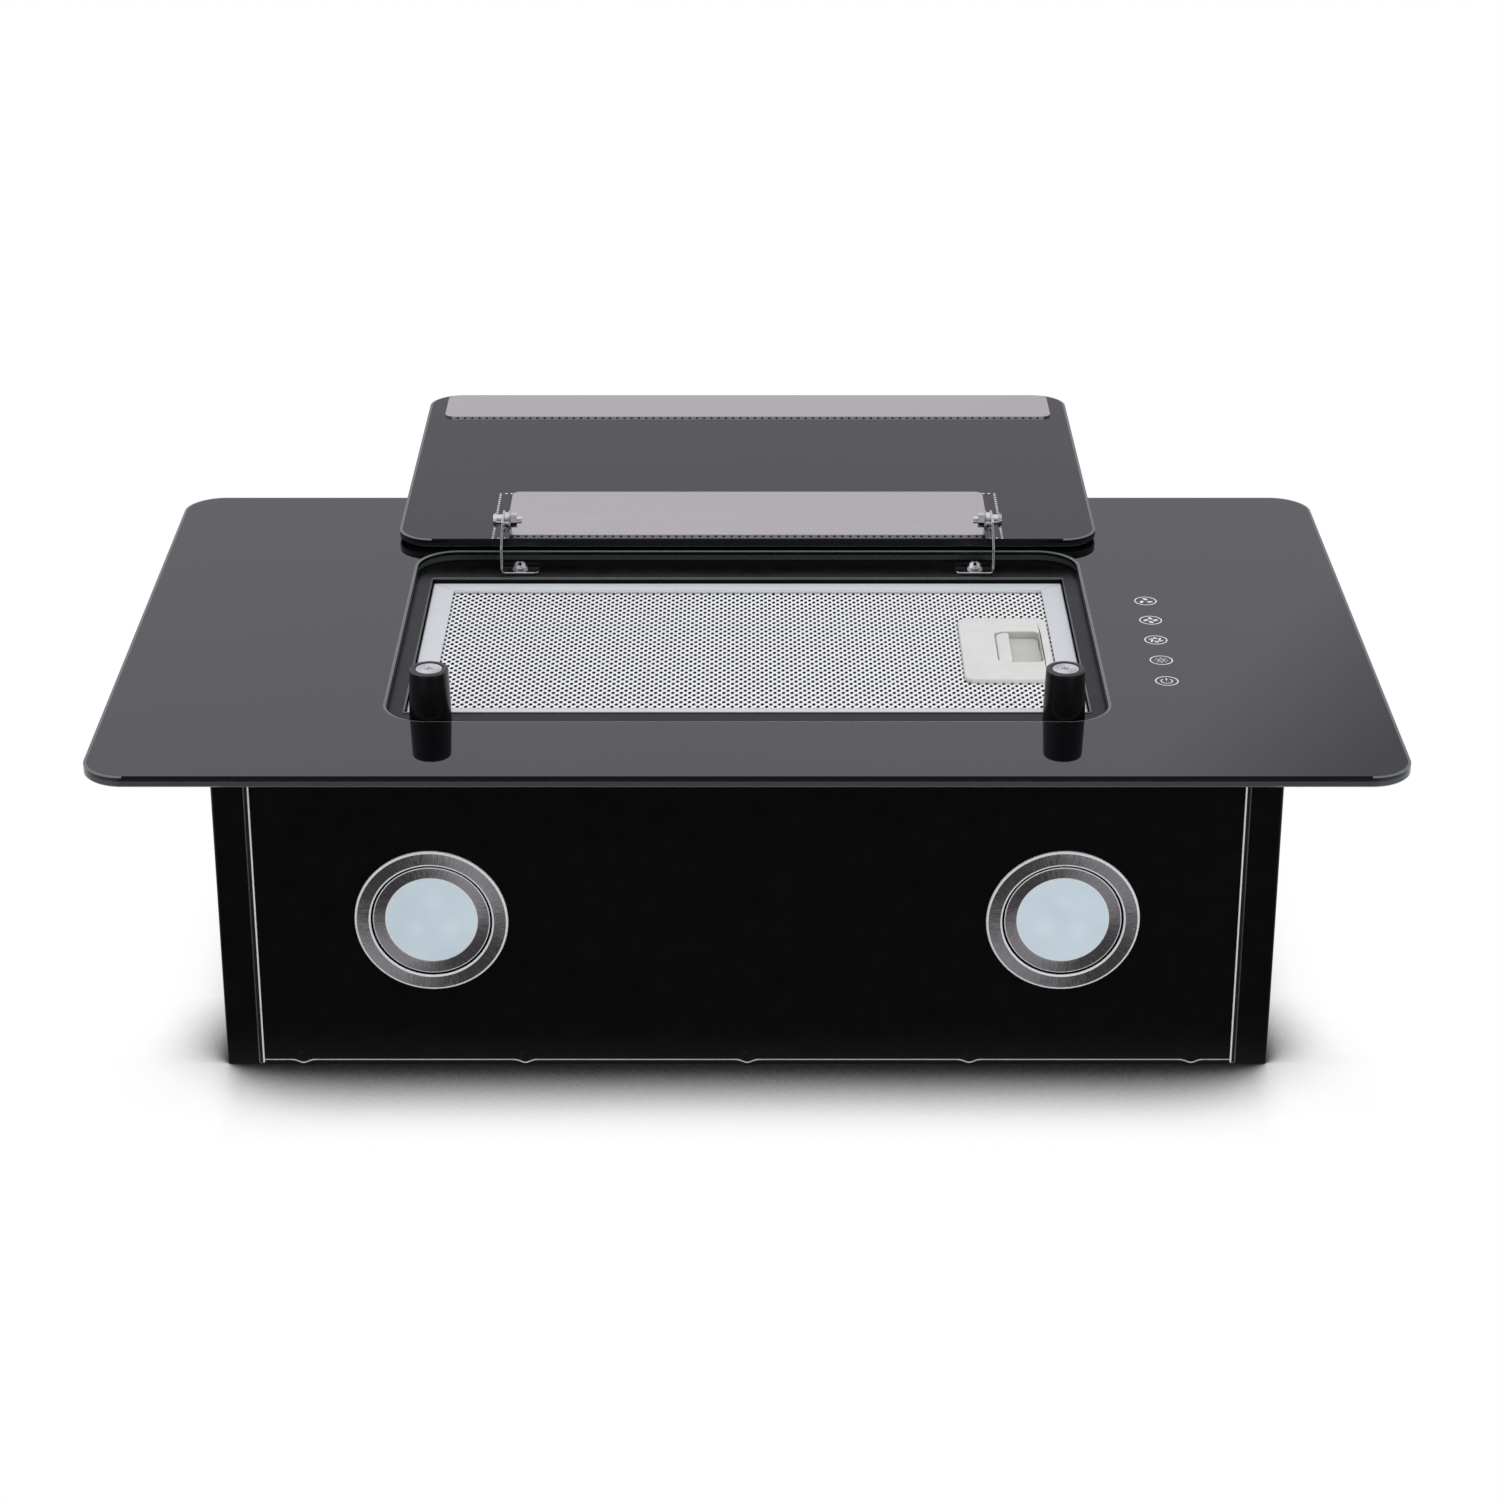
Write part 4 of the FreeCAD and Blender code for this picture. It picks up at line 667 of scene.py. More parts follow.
def turned_steel():
    """Lamp ring with fine scratches across its turning, and a painted highlight xz/r^2 brightest on one
    diagonal.
    """
    steel = Finish("turned_steel", Metallic=1.0, Anisotropic=0.75)
    x, z, radius = lamp_place(steel)
    spoke_x = steel.math("DIVIDE", x, radius)
    spoke_z = steel.math("DIVIDE", z, radius)
    spokes = steel.first("CombineXYZ", {0: spoke_x, 1: spoke_z, 2: steel.math("MULTIPLY", radius, 3.0)})
    lines = steel.noise(80.0, 7.0, spokes, 0.8)
    # Painted highlight: the ring's tone is lighter along one diagonal, as light falls on a turned ring
    painted_highlight = steel.math("MULTIPLY", steel.math("MULTIPLY", spoke_x, spoke_z), 0.5)
    bold = steel.spread(lines, 0.02, 0.98, 0.2, 0.8)
    steel.feed("Tangent", steel.first("Tangent", direction_type="RADIAL", axis="Y"))
    steel.relief(lines, 0.00001, 0.4)
    steel.shade(steel.math("ADD", bold, painted_highlight), (0.2, 0.188, 0.188), (0.86, 0.83, 0.83), (0.28, 0.42))


def filter_aluminium():
    """Cool pale aluminium of the filter frame, rolled along X and satin anodised."""
    bar = Finish("filter_aluminium", Metallic=0.12)
    bar.shade(bar.brushed((12.0, 300.0, 300.0)), (0.64, 0.67, 0.705), (0.7, 0.728, 0.758), (0.4, 0.52))


def board_green():
    """Green circuit board with paler copper tracks."""
    board = Finish("board_green", Specular_IOR_Level=0.5)
    board.shade(board.cells(260.0, "Distance"), (0.012, 0.085, 0.035), (0.02, 0.15, 0.06), (0.3, 0.45))


def make_glass_finishes():
    """Back-painted black glass, which mirrors less on the flap, its ground edges, prints and the lens."""
    for name, ior in (("black_glass", 1.5), ("flap_black_glass", 1.33)):
        cloudy(name, 14.0, 2.0, (0.0022, 0.0022, 0.003), (0.0035, 0.0035, 0.0045), (0.018, 0.03), IOR=ior)
    low, high = extent("glass_panel")
    glass_edge("glass_edge_front", low[2], high[2], (0.042, 0.053, 0.05))
    glass_edge("glass_edge_flap", *FLAP_FADE_Z, (0.008, 0.011, 0.01))
    cloudy("glass_arris", 1400.0, 3.0, (0.11, 0.122, 0.122), (0.15, 0.163, 0.163), (0.2, 0.34),
           Specular_IOR_Level=0.4)
    cloudy("tape_grey", 300.0, 3.0, (0.12, 0.108, 0.12), (0.16, 0.146, 0.16), (0.3, 0.45),
           Specular_IOR_Level=0.4)
    # The black is print on the tapes, and painted shade on the near arris of the glasses, in the lamp
    # grooves and in the screw recesses
    cloudy("print_and_shade_black", 2500.0, 2.0, 0.002, 0.005, (0.6, 0.8), Specular_IOR_Level=0.05)
    cloudy("print_white", 2500.0, 2.0, 0.82, 0.94, (0.1, 0.2), Specular_IOR_Level=0.5)
    frosted_lens()


def make_steel_finishes():
    """Sheet steel painted, coated, brushed and polished, metal laid on its rounded edges as painted
    highlight and shade, and the steel of the motor.
    """
    grained("black_steel", (650.0, 0.25), (90.0, 3.0), 0.0012, 0.0024, (0.2, 0.28), 0.13)
    galvanised("galvanised_steel", 0.42, 0.6)
    galvanised("scroll_steel", 0.36, 0.52)
    # Painted highlight on the foot edge, the side turns and the recess sill; the bracket_edge tone is a
    # painted highlight on the post rims and painted shade on the bracket arms
    painted_edge_light_and_shade("bright_edge_highlight", 0.78, 0.92)
    painted_edge_light_and_shade("bracket_edge", 0.13, 0.21)
    painted_edge_light_and_shade("dim_edge_highlight", 0.16, 0.22)
    # Pale satin metal: painted highlight on the lamp chamfers and up the seams
    cloudy("lamp_edge_highlight", 700.0, 3.0, 0.88, 0.97, (0.3, 0.4), Metallic=0.25)
    turned_steel()
    streaked("brushed_steel", (6.0, 900.0, 900.0), (0.48, 0.465, 0.455), (0.58, 0.56, 0.55), (0.24, 0.34))
    streaked("motor_steel", (500.0, 500.0, 12.0), 0.34, 0.44, (0.3, 0.45))
    streaked("shaft_steel", (200.0, 200.0, 2500.0), 0.5, 0.64, (0.15, 0.25))
    streaked("stator_iron", (8.0, 8.0, 1500.0), 0.16, 0.26, (0.4, 0.55))
    cloudy("polished_steel", 160.0, 4.0, 0.52, 0.64, (0.05, 0.12), Metallic=1.0)


def make_other_finishes():
    """Zinc on fasteners, nickel on magnets, bronze, the filter's aluminium, plastics, rubber and board."""
    cloudy("zinc_fastener", 700.0, 3.0, 0.6, (0.82, 0.8118, 0.7872), (0.05, 0.11), Metallic=1.0)
    cloudy("magnet_metal", 900.0, 3.0, 0.6, 0.78, (0.16, 0.28), Metallic=1.0)
    cloudy("bearing_bronze", 1200.0, 4.0, (0.36, 0.21, 0.09), (0.5, 0.31, 0.14), (0.35, 0.5), Metallic=1.0)
    filter_aluminium()
    cloudy("filter_mesh", 420.0, 4.0, (0.93, 0.935, 0.965), (0.98, 0.985, 1.0), (0.28, 0.4), Metallic=0.08)
    # Near-black aluminium as painted shade in the hole walls, core and back mesh of the filter
    cloudy("filter_painted_shade", 300.0, 4.0, 0.008, 0.025, (0.4, 0.6), Metallic=0.8)
    moulded("black_plastic", 0.0018, (0.0032, 0.0032, 0.00368), (0.24, 0.32), 0.4)
    moulded("ivory_plastic", (0.70, 0.70, 0.685), (0.75, 0.75, 0.74), (0.38, 0.5))
    # Darker ivory as painted shade in the handle's slot
    moulded("ivory_painted_shade", (0.5, 0.505, 0.475), (0.55, 0.555, 0.52), (0.4, 0.52))
    moulded("grey_plastic", 0.2, 0.26, (0.4, 0.55))
    moulded("duct_plastic", 0.012, 0.02, (0.38, 0.5))
    moulded("wheel_plastic", 0.03, 0.05, (0.42, 0.55))
    moulded("bush_rubber", 0.012, 0.022, (0.7, 0.85), 0.3)
    board_green()


def dress_solids():
    """Give each solid the finish of its slot in the record."""
    for part in frame["record"]["subparts"]:
        for slot in frame["nodes"][part["node"]].material_slots:
            slot.material = finish_of[part["material_slot"]]
    # The filter's core and back mesh are near-black as painted shade inside the filter
    for node in ("filter_core", "filter_back_mesh"):
        frame["nodes"][node].material_slots[0].material = finish_of["filter_painted_shade"]


def glass_edge_loops(node, sides, corner, bevel, inward=1.0):
    """Loops of a glass edge from its lower chamfer to its flat upper arris; inward is -1 in a cut-out."""
    low_z, high_z = (end[2] for end in extent(node))
    rows = ((bevel, low_z), (0.0, low_z + bevel), (0.0, high_z - ARRIS_DROP), (ARRIS_WIDTH, high_z))
    return [at_height(round_rectangle(*sides, corner, inward * inset), z) for inset, z in rows]


def paint_glass(piece, edge, edge_strips, arris_strips):
    """Ground edges and arrises of a glass; the near side of its upper arris, strip 2, is painted black as
    painted shade.
    """
    paint(piece, edge, strips(OUTLINE_STEPS, edge_strips))
    paint(piece, "glass_arris", strips(OUTLINE_STEPS, arris_strips))
    paint(piece, "print_and_shade_black", [2 * OUTLINE_STEPS + NEAR_SIDE])


def add_front_glass():
    """Front glass, one closed ring: outer edge, top face, edge of the cut-out and bottom face."""
    cut = (-CUT_X, CUT_X, CUT_NEAR_Y, CUT_FAR_Y)
    loops = glass_edge_loops("glass_panel", plan("glass_panel"), GLASS_CORNER, GLASS_BEVEL)
    loops += glass_edge_loops("glass_panel", cut, CUT_CORNER, GLASS_BEVEL, -1.0)[::-1]
    piece = add_piece("front_glass", loft(loops, ring=True), "black_glass", "hood",
                      "glass_panel", crease=10.0)
    paint_glass(piece, "glass_edge_front", (1, 5), (0, 2, 4, 6))


def add_flap_glass():
    """Flap glass: a round-cornered sheet with chamfered edges and flat faces."""
    loops = glass_edge_loops("flap_glass", plan("flap_glass"), FLAP_CORNER, FLAP_BEVEL)
    piece = add_piece("flap_pane", loft(loops), "flap_black_glass", "flap",
                      "flap_glass", crease=10.0)
    paint_glass(piece, "glass_edge_flap", (1,), (0, 2))


def hole_centres(columns, rows):
    """Centres of the holes in staggered rows about the middle, but for those under the handle."""
    row, column = np.meshgrid(np.arange(rows), np.arange(columns), indexing="ij")
    x = (column - (columns - 1) / 2 + ROW_STAGGER * np.where(row % 2, 1, -1)) * HOLE_PITCH
    y = (MESH_NEAR_Y + MESH_FAR_Y) / 2 + (row - (rows - 1) / 2) * ROW_PITCH
    low, high = extent("filter_handle")
    covered = (x > low[0] + HOLE_PITCH) & (x < high[0] - HOLE_PITCH / 2)
    covered &= (y > low[1] + ROW_PITCH) & (y < high[1] - ROW_PITCH)
    return np.column_stack((x[~covered], y[~covered]))


def hole_cell(level):
    """Points about one hole: its cell's border, its upper lip and its lower lip.

    Border point k = (pitch sign cos a, row pitch sign sin a) / 2, and hole point k = R(turn) (long cos a,
    short sin a), raised by tilt sin a, so that one lip of a hole stands over the other.
    """
    angle = full_turn(HOLE_SIDES)
    signs = np.sign(np.round((np.cos(angle), np.sin(angle)), 6))
    border = np.column_stack((signs[0] * HOLE_PITCH / 2, signs[1] * ROW_PITCH / 2))
    hole = ellipse((0.0, 0.0), HOLE_LONG, HOLE_SHORT, HOLE_TURN, HOLE_SIDES)
    lip = level + STRAND_TILT * np.sin(angle)
    lower = at_height(hole * HOLE_TAPER, lip - HOLE_DEPTH)
    return np.concatenate((at_height(border, level), at_height(hole, lip), lower))


def add_filter_sheet():
    """Pierced sheet: the same cell about each hole, inside a plain border under the filter's frame."""
    columns = int(2 * (MESH_X + HOLES_UNDER_FRAME) // HOLE_PITCH)
    rows = int((MESH_FAR_Y - MESH_NEAR_Y + 2 * HOLES_UNDER_FRAME) // ROW_PITCH)
    level = extent("filter_front_mesh")[1][2] - STRAND_TILT
    centre = hole_centres(columns, rows)
    cell = hole_cell(level)
    points = cell[None] + at_height(centre, 0.0)[:, None]
    first = np.arange(len(centre)) * len(cell)
    faces = quads(len(cell) // HOLE_SIDES, HOLE_SIDES) + first[:, None, None]
    holed = (points.reshape(-1, 3), (faces.reshape(-1, 4), []))
    reach_x = (columns / 2 - ROW_STAGGER) * HOLE_PITCH
    reach_y = rows * ROW_PITCH / 2
    inner = rectangle(-reach_x, reach_x, -reach_y, reach_y) + (0.0, (MESH_NEAR_Y + MESH_FAR_Y) / 2)
    border = band(inner, rectangle(*plan("filter_front_mesh")), level - HOLE_DEPTH, level)
    piece = add_piece("filter_sheet", merged(holed, border), "filter_mesh", "filter",
                      "filter_front_mesh", crease=60.0)
    # Painted shade: the hole walls are near-black
    paint(piece, "filter_painted_shade", strips(HOLE_SIDES, 2 * np.arange(len(centre)) + 1))


def add_filter_seams():
    """Dark hairlines where the bars of the filter frame are mitred, corner to corner."""
    outer = rectangle(*plan("filter_frame"))
    inner = rectangle(-MESH_X, MESH_X, MESH_NEAR_Y, MESH_FAR_Y)
    along = inner - outer
    across = MITRE_HALF * unit(np.column_stack((-along[:, 1], along[:, 0])))
    start = outer + MITRE_START * along
    lines = np.stack((start - across, inner - across, inner + across, start + across), axis=1)
    top = extent("filter_frame")[1][2]
    skins = [prism(line, top - PRINT_SINK, top + PRINT_SINK) for line in lines]
    add_piece("filter_mitres", merged(*skins), "motor_steel", "filter")


def add_handle():
    """Filter handle: a soft-edged pad round the finger slot, and a cup that leaves the latch its channel."""
    top = extent("filter_handle")[1][2]
    under_z = extent("filter_front_mesh")[1][2]

    def outer(inset):
        return round_rectangle(*plan("filter_handle"), HANDLE_CORNER, inset)

    def slot(inset):
        return round_rectangle(*SLOT_X, *SLOT_Y, SLOT_CORNER, -inset)

    def open_path(x, outline):
        ends = SLOT_MIDDLE + CHANNEL_HALF, SLOT_MIDDLE - CHANNEL_HALF
        return np.concatenate(([(x, ends[0])], outline, [(x, ends[1])]))

    rise = [(0.0, under_z), (0.0, top), (4 * HANDLE_EASE, top)]
    rise = eased(rise, HANDLE_EASE, HANDLE_EASE_STEPS)
    fall = [(4 * SLOT_EASE, top), (0.0, top), (0.0, CUP_RIM_Z)]
    fall = eased(fall, SLOT_EASE, HANDLE_EASE_STEPS)
    loops = [at_height(outer(inset), z) for inset, z in rise]
    loops += [at_height(slot(inset), z) for inset, z in fall[1:]]
    loops += [at_height(slot(CUP_WALL), z) for z in (CUP_RIM_Z, under_z)]
    pad = add_piece("handle_pad", loft(loops, ring=True), "ivory_plastic", "filter",
                    "filter_handle", crease=50.0)
    # Painted shade: the slot's inner walls are darker ivory
    paint(pad, "ivory_painted_shade", strips(OUTLINE_STEPS, range(len(rise) + len(fall) - 3, len(loops))))
    low_z = SLOT_FLOOR_Z - CUP_WALL
    inside = open_path(SLOT_X[1], slot(0.0))
    outside = open_path(SLOT_X[1] + CUP_WALL, slot(CUP_WALL))
    corners = ((inside, low_z), (outside, low_z), (outside, CUP_RIM_Z), (inside, CUP_RIM_Z))
    wall = loft(np.stack([at_height(path, z) for path, z in corners], axis=1))
    floor = prism(slot(0.0), low_z, SLOT_FLOOR_Z)
    window = round_rectangle(*BASE_WINDOW_X, SLOT_MIDDLE - BASE_WINDOW_HALF, SLOT_MIDDLE + BASE_WINDOW_HALF,
                             BASE_WINDOW_CORNER)
    base = band(window, slot(-SLOT_BASE_GAP), *SLOT_BASE_Z)
    # Painted shade: the cup in the slot is darker ivory
    add_piece("handle_cup", merged(wall, floor, base), "ivory_painted_shade", "filter")


def add_latch():
    """Latch slider: a sloped finger lip with eased edges, a stem through the slot base and a tongue."""
    high = extent("filter_latch")[1]

    def lip(inset):
        return round_rectangle(*LIP_X, *LIP_Y, LIP_CORNER, inset, LIP_CORNER_STEPS)

    def about_middle(x0, x1, half, corner, steps):
        return round_rectangle(x0, x1, SLOT_MIDDLE - half, SLOT_MIDDLE + half, corner, 0.0, steps)

    loops = [at_height(lip(0.0), LIP_UNDER_Z)]
    for inset, drop in LIP_EDGE:
        outline = lip(inset)
        fall = LIP_SLOPE * (LIP_X[1] - outline[:, 0]) / (LIP_X[1] - LIP_X[0])
        loops.append(at_height(outline, high[2] - drop - fall))
    stem = about_middle(*STEM_X, STEM_HALF, STEM_CORNER, SMALL_CORNER_STEPS)
    tongue = about_middle(STEM_X[0], high[0], TONGUE_HALF, TONGUE_CORNER, TONGUE_CORNER_STEPS)
    stem = prism(stem, TONGUE_Z[1] - STEM_LAP, LIP_UNDER_Z + STEM_LAP)
    skin = merged(loft(loops), stem, prism(tongue, *TONGUE_Z))
    add_piece("latch_slider", skin, "ivory_plastic", "latch", "filter_latch", crease=50.0)


def add_lamp(name):
    """Lamp: a turned ring with a bevelled land, a step, a groove and an inner cone, and a crowned lens."""
    low, high = extent("light_bezel_" + name)
    centre = ((low[0] + high[0]) / 2, high[1], (low[2] + high[2]) / 2)
    away = (0.0, -1.0, 0.0)
    radius = (high[0] - low[0]) / 2
    front = high[1] - low[1]
    step = front - LAMP_STEP
    groove = LAMP_STEP_RADIUS - LAMP_GROOVE
    corners = [(LENS_RADIUS, 0.0), (radius, 0.0), (radius, front), (LAMP_STEP_RADIUS, front),
               (LAMP_STEP_RADIUS, step - LAMP_STEP), (groove, step - LAMP_STEP), (groove, step),
               (LENS_RADIUS, step - LAMP_STEP / 2), (LENS_RADIUS, 0.0)]
    profile = eased(corners, LAMP_EASES, LAMP_EASE_STEPS)[:-1]
    ring = loft(spun(profile, centre, away, TURN_STEPS), ring=True)
    piece = add_piece("lamp_ring_" + name, ring, "turned_steel", "hood",
                      "light_bezel_" + name, crease=25.0)
    # Painted highlight: the eased rows of the land, step and groove edges are pale metal
    bright = [1 + LAMP_EASE_STEPS * corner + row for corner in LAMP_HIGHLIGHT_CORNERS
              for row in range(LAMP_EASE_STEPS - 1)]
    paint(piece, "lamp_edge_highlight", strips(TURN_STEPS, bright))
    # Painted shade: the groove and the corners round it are black
    first, last = (LAMP_EASE_STEPS * corner for corner in LAMP_SHADE_CORNERS)
    paint(piece, "print_and_shade_black", strips(TURN_STEPS, range(first, last + 1)))
    low, high = extent("light_lens_" + name)
    reach = LENS_RADIUS - LENS_GAP
    share = np.linspace(1.0, MIDDLE_SHARE, LENS_ROWS)
    crown = np.column_stack((reach * share, centre[1] - low[1] + LENS_CROWN * (1 - share ** 2)))
    back = centre[1] - high[1]
    shoulder = (high[0] - low[0]) / 2
    seat = [(FLAT_MIDDLE, back), (shoulder, back), (shoulder, 0.0), (reach, 0.0)]
    lens = loft(spun(np.concatenate((seat, crown)), centre, away, TURN_STEPS))
    add_piece("lamp_lens_" + name, lens, "frosted_lens", "hood",
              "light_lens_" + name, crease=30.0)


def disc_skin(x, y, z):
    """Disc with turned rings and a cross: height = -sink - depth at each ring - depth inside the cross."""
    r, across, along = polar_grid(np.linspace(DISC_RADIUS, DISC_MIDDLE, DISC_ROWS))
    groove = sum(np.exp(-((r - ring) / DISC_RING_WIDTH) ** 2) for ring in DISC_RING_RADII)
    cross = cross_mask(across, along, *DISC_CROSS)
    face = z - DISC_SINK - DISC_RING_DEPTH * groove - DISC_CROSS_DEPTH * cross
    return headed(x + across, y + along, face, z - DISC_THICK)


def add_posts():
    """Tapered posts: radius = foot + (top - foot) t^power at the height t, a rounded rim and a sunk disc."""
    discs = []
    for name in ("left", "right"):
        low, high = extent("rest_post_" + name)
        centre = ((low[0] + high[0]) / 2, (low[1] + high[1]) / 2, low[2])
        height = high[2] - low[2]
        foot = (high[0] - low[0]) / 2
        t = np.linspace(0.0, 1.0, POST_ROWS)
        barrel = np.column_stack((foot + (POST_TOP_RADIUS - foot) * t ** POST_POWER, height * t))
        well = DISC_RADIUS + POST_WELL_GAP
        top = [barrel[-2], barrel[-1], (well, height), (well, height - POST_WELL)]
        top = eased(top, POST_EASES, POST_EASE_STEPS)
        ends = [(FLAT_MIDDLE, 0.0), (FLAT_MIDDLE, height - POST_WELL)]
        profile = np.concatenate((ends[:1], barrel[:-2], top, ends[1:]))
        skin = loft(spun(profile, centre, (0.0, 0.0, 1.0), POST_STEPS))
        piece = add_piece("post_" + name, skin, "black_plastic", "hood",
                          "rest_post_" + name, crease=40.0)
        # Painted highlight: two rows of the rim's rounding are grey metal
        paint(piece, "bracket_edge", strips(POST_STEPS, (POST_ROWS + 1, POST_ROWS + 2)))
        discs.append(disc_skin(centre[0], centre[1], high[2]))
    add_piece("post_discs", merged(*discs), "magnet_metal", "hood", "post_magnets")


def add_bracket_screws():
    """Flanged pan-head screws: flange + dome (1 - r^power) over the head, less the cross recess."""
    low, high = extent("bracket_screws")
    middle_y = (low[1] + high[1]) / 2
    seat_z = high[2] - SCREW_HEAD_HEIGHT
    r, x, y = polar_grid(np.linspace(1.0, MIDDLE_SHARE, SCREW_ROWS) * SCREW_SPREAD)
    recess = cross_mask(x, y, *CROSS)
    bulge = np.clip(1 - (r / (SCREW_DOME_SHARE * SCREW_SPREAD)) ** SCREW_DOME_POWER, 0.0, 1.0)
    top = seat_z + SCREW_FLANGE + SCREW_DOME * bulge - CROSS_DEPTH * recess
    # Painted shade: the floor of the cross recess is black
    dark = ROUND_STEPS + np.flatnonzero(recess[:-1] > 0.5)
    for side, name in ((-1, "left"), (1, "right")):
        skin = headed(side * (high[0] - SCREW_HEAD_RADIUS) + x, middle_y + y, top, seat_z)
        piece = add_piece("foot_screw_" + name, skin, "zinc_fastener", "hood",
                          "bracket_screws", crease=30.0)
        paint(piece, "print_and_shade_black", dark)


def petals(place, first, count, long, short, turn, steps):
    """Ellipses at even angles round the origin, each turned by the same angle from its spoke."""
    angles = first + np.arange(count) * 2 * math.pi / count
    spots = place * np.column_stack((np.cos(angles), np.sin(angles)))
    return [ellipse(spot, long, short, angle + turn, steps) for spot, angle in zip(spots, angles)]


def fan_strokes(blades, short):
    """Blades of a fan symbol."""
    return petals(BLADE_PLACE, math.pi / 2, blades, BLADE_LONG, short, BLADE_TURN, BLADE_SIDES)


def lamp_strokes():
    """Small ring with short rays."""
    ring = arc_stroke(SUN_RING, SUN_LINE, 0.0, 2 * math.pi - SUN_GAP)
    return [ring] + petals(RAY_PLACE, 0.0, RAY_COUNT, RAY_LONG, RAY_SHORT, 0.0, RAY_SIDES)


def power_strokes():
    """Open ring with an upright bar at its gap."""
    ring = arc_stroke(POWER_RING, POWER_LINE, math.pi / 2 + POWER_GAP, math.pi * 5 / 2 - POWER_GAP)
    bar = round_rectangle(-POWER_BAR_HALF, POWER_BAR_HALF, *POWER_BAR_Y, POWER_BAR_CORNER, 0.0,
                          SMALL_CORNER_STEPS)
    return [ring, bar]


def add_key_prints():
    """Five touch keys along the right side of the glass, each a ring with its symbol inside."""
    symbols = (
        ("power", power_strokes()),
        ("lamp", lamp_strokes()),
        ("fan_six", fan_strokes(6, BLADE_SLIM)),
        ("fan_four", fan_strokes(4, BLADE_SHORT)),
        ("fan_three", fan_strokes(3, BLADE_SHORT)),
    )
    low_z = extent("glass_panel")[1][2] - PRINT_SINK
    high_z = low_z + PRINT_THICK
    for index, (name, strokes) in enumerate(symbols):
        centre = (KEY_X, KEY_FIRST_Y + index * KEY_PITCH)
        inner, outer = [ellipse(centre, radius, radius, 0.0, KEY_RING_SIDES)
                        for radius in (KEY_RING - KEY_LINE, KEY_RING)]
        skins = [prism(stroke + centre, low_z, high_z) for stroke in strokes]
        skin = merged(band(inner, outer, low_z, high_z), *skins)
        add_piece("key_print_" + name, skin, "print_white", "hood")


def dots(spots, radius, z):
    """Flat round dots at the given spots."""
    outlines = [ellipse(spot, radius, radius, 0.0, DOT_SIDES) for spot in spots]
    return merged(*[prism(outline, z - PRINT_SINK, z + PRINT_THICK - PRINT_SINK) for outline in outlines])


def add_dotted_lines():
    """White dots beside the hinge plate."""
    up = np.arange(DOTS_NEAR_Y, DOTS_FAR_Y, DOT_PITCH)
    inward = DOTS_X - DOT_PITCH * np.array((1.0, 2.0))
    spots = [(side * DOTS_X, y) for side in (-1, 1) for y in up]
    spots += [(side * x, y) for side in (-1, 1) for x in inward for y in (DOTS_NEAR_Y, DOTS_FAR_Y)]
    skin = dots(spots, DOT_RADIUS, extent("flap_glass")[1][2])
    add_piece("dotted_line", skin, "print_white", "flap")


def add_tapes():
    """Tape that slopes from the near edge of each strip to the glass, with a row of black dots on it.

    A dot's flat point (x, s, h) goes to x, foot + s slope + h square to the slope.
    """
    glass_z = extent("flap_glass")[1][2]
    low, high = extent("magnet_strip")
    films = []
    marks = []
    for end, near in ((plan("hinge_plate")[1], HINGE_SHEET_Y), (high[0], low[1])):
        reach = end - TAPE_END
        foot = (near - TAPE_REACH, glass_z + TAPE_FOOT)
        section = np.array([(near, glass_z), (near - TAPE_REACH, glass_z), foot, (near, high[2])])
        films.append(loft([np.column_stack((np.full(4, x), section)) for x in (-reach, reach)]))
        slope = section[3] - section[2]
        length = np.linalg.norm(slope)
        slope /= length
        count = int(2 * (reach - TAPE_DOT_MARGIN) // TAPE_DOT_PITCH)
        spots = (np.arange(count + 1) - count / 2) * TAPE_DOT_PITCH
        points, faces = dots([(x, length / 2) for x in spots], TAPE_DOT_RADIUS, 0.0)
        y = foot[0] + points[:, 1] * slope[0] - points[:, 2] * slope[1]
        z = foot[1] + points[:, 1] * slope[1] + points[:, 2] * slope[0]
        marks.append((np.column_stack((points[:, 0], y, z)), faces))
    add_piece("tapes", merged(*films), "tape_grey", "flap")
    add_piece("tape_dots", merged(*marks), "print_and_shade_black", "flap")


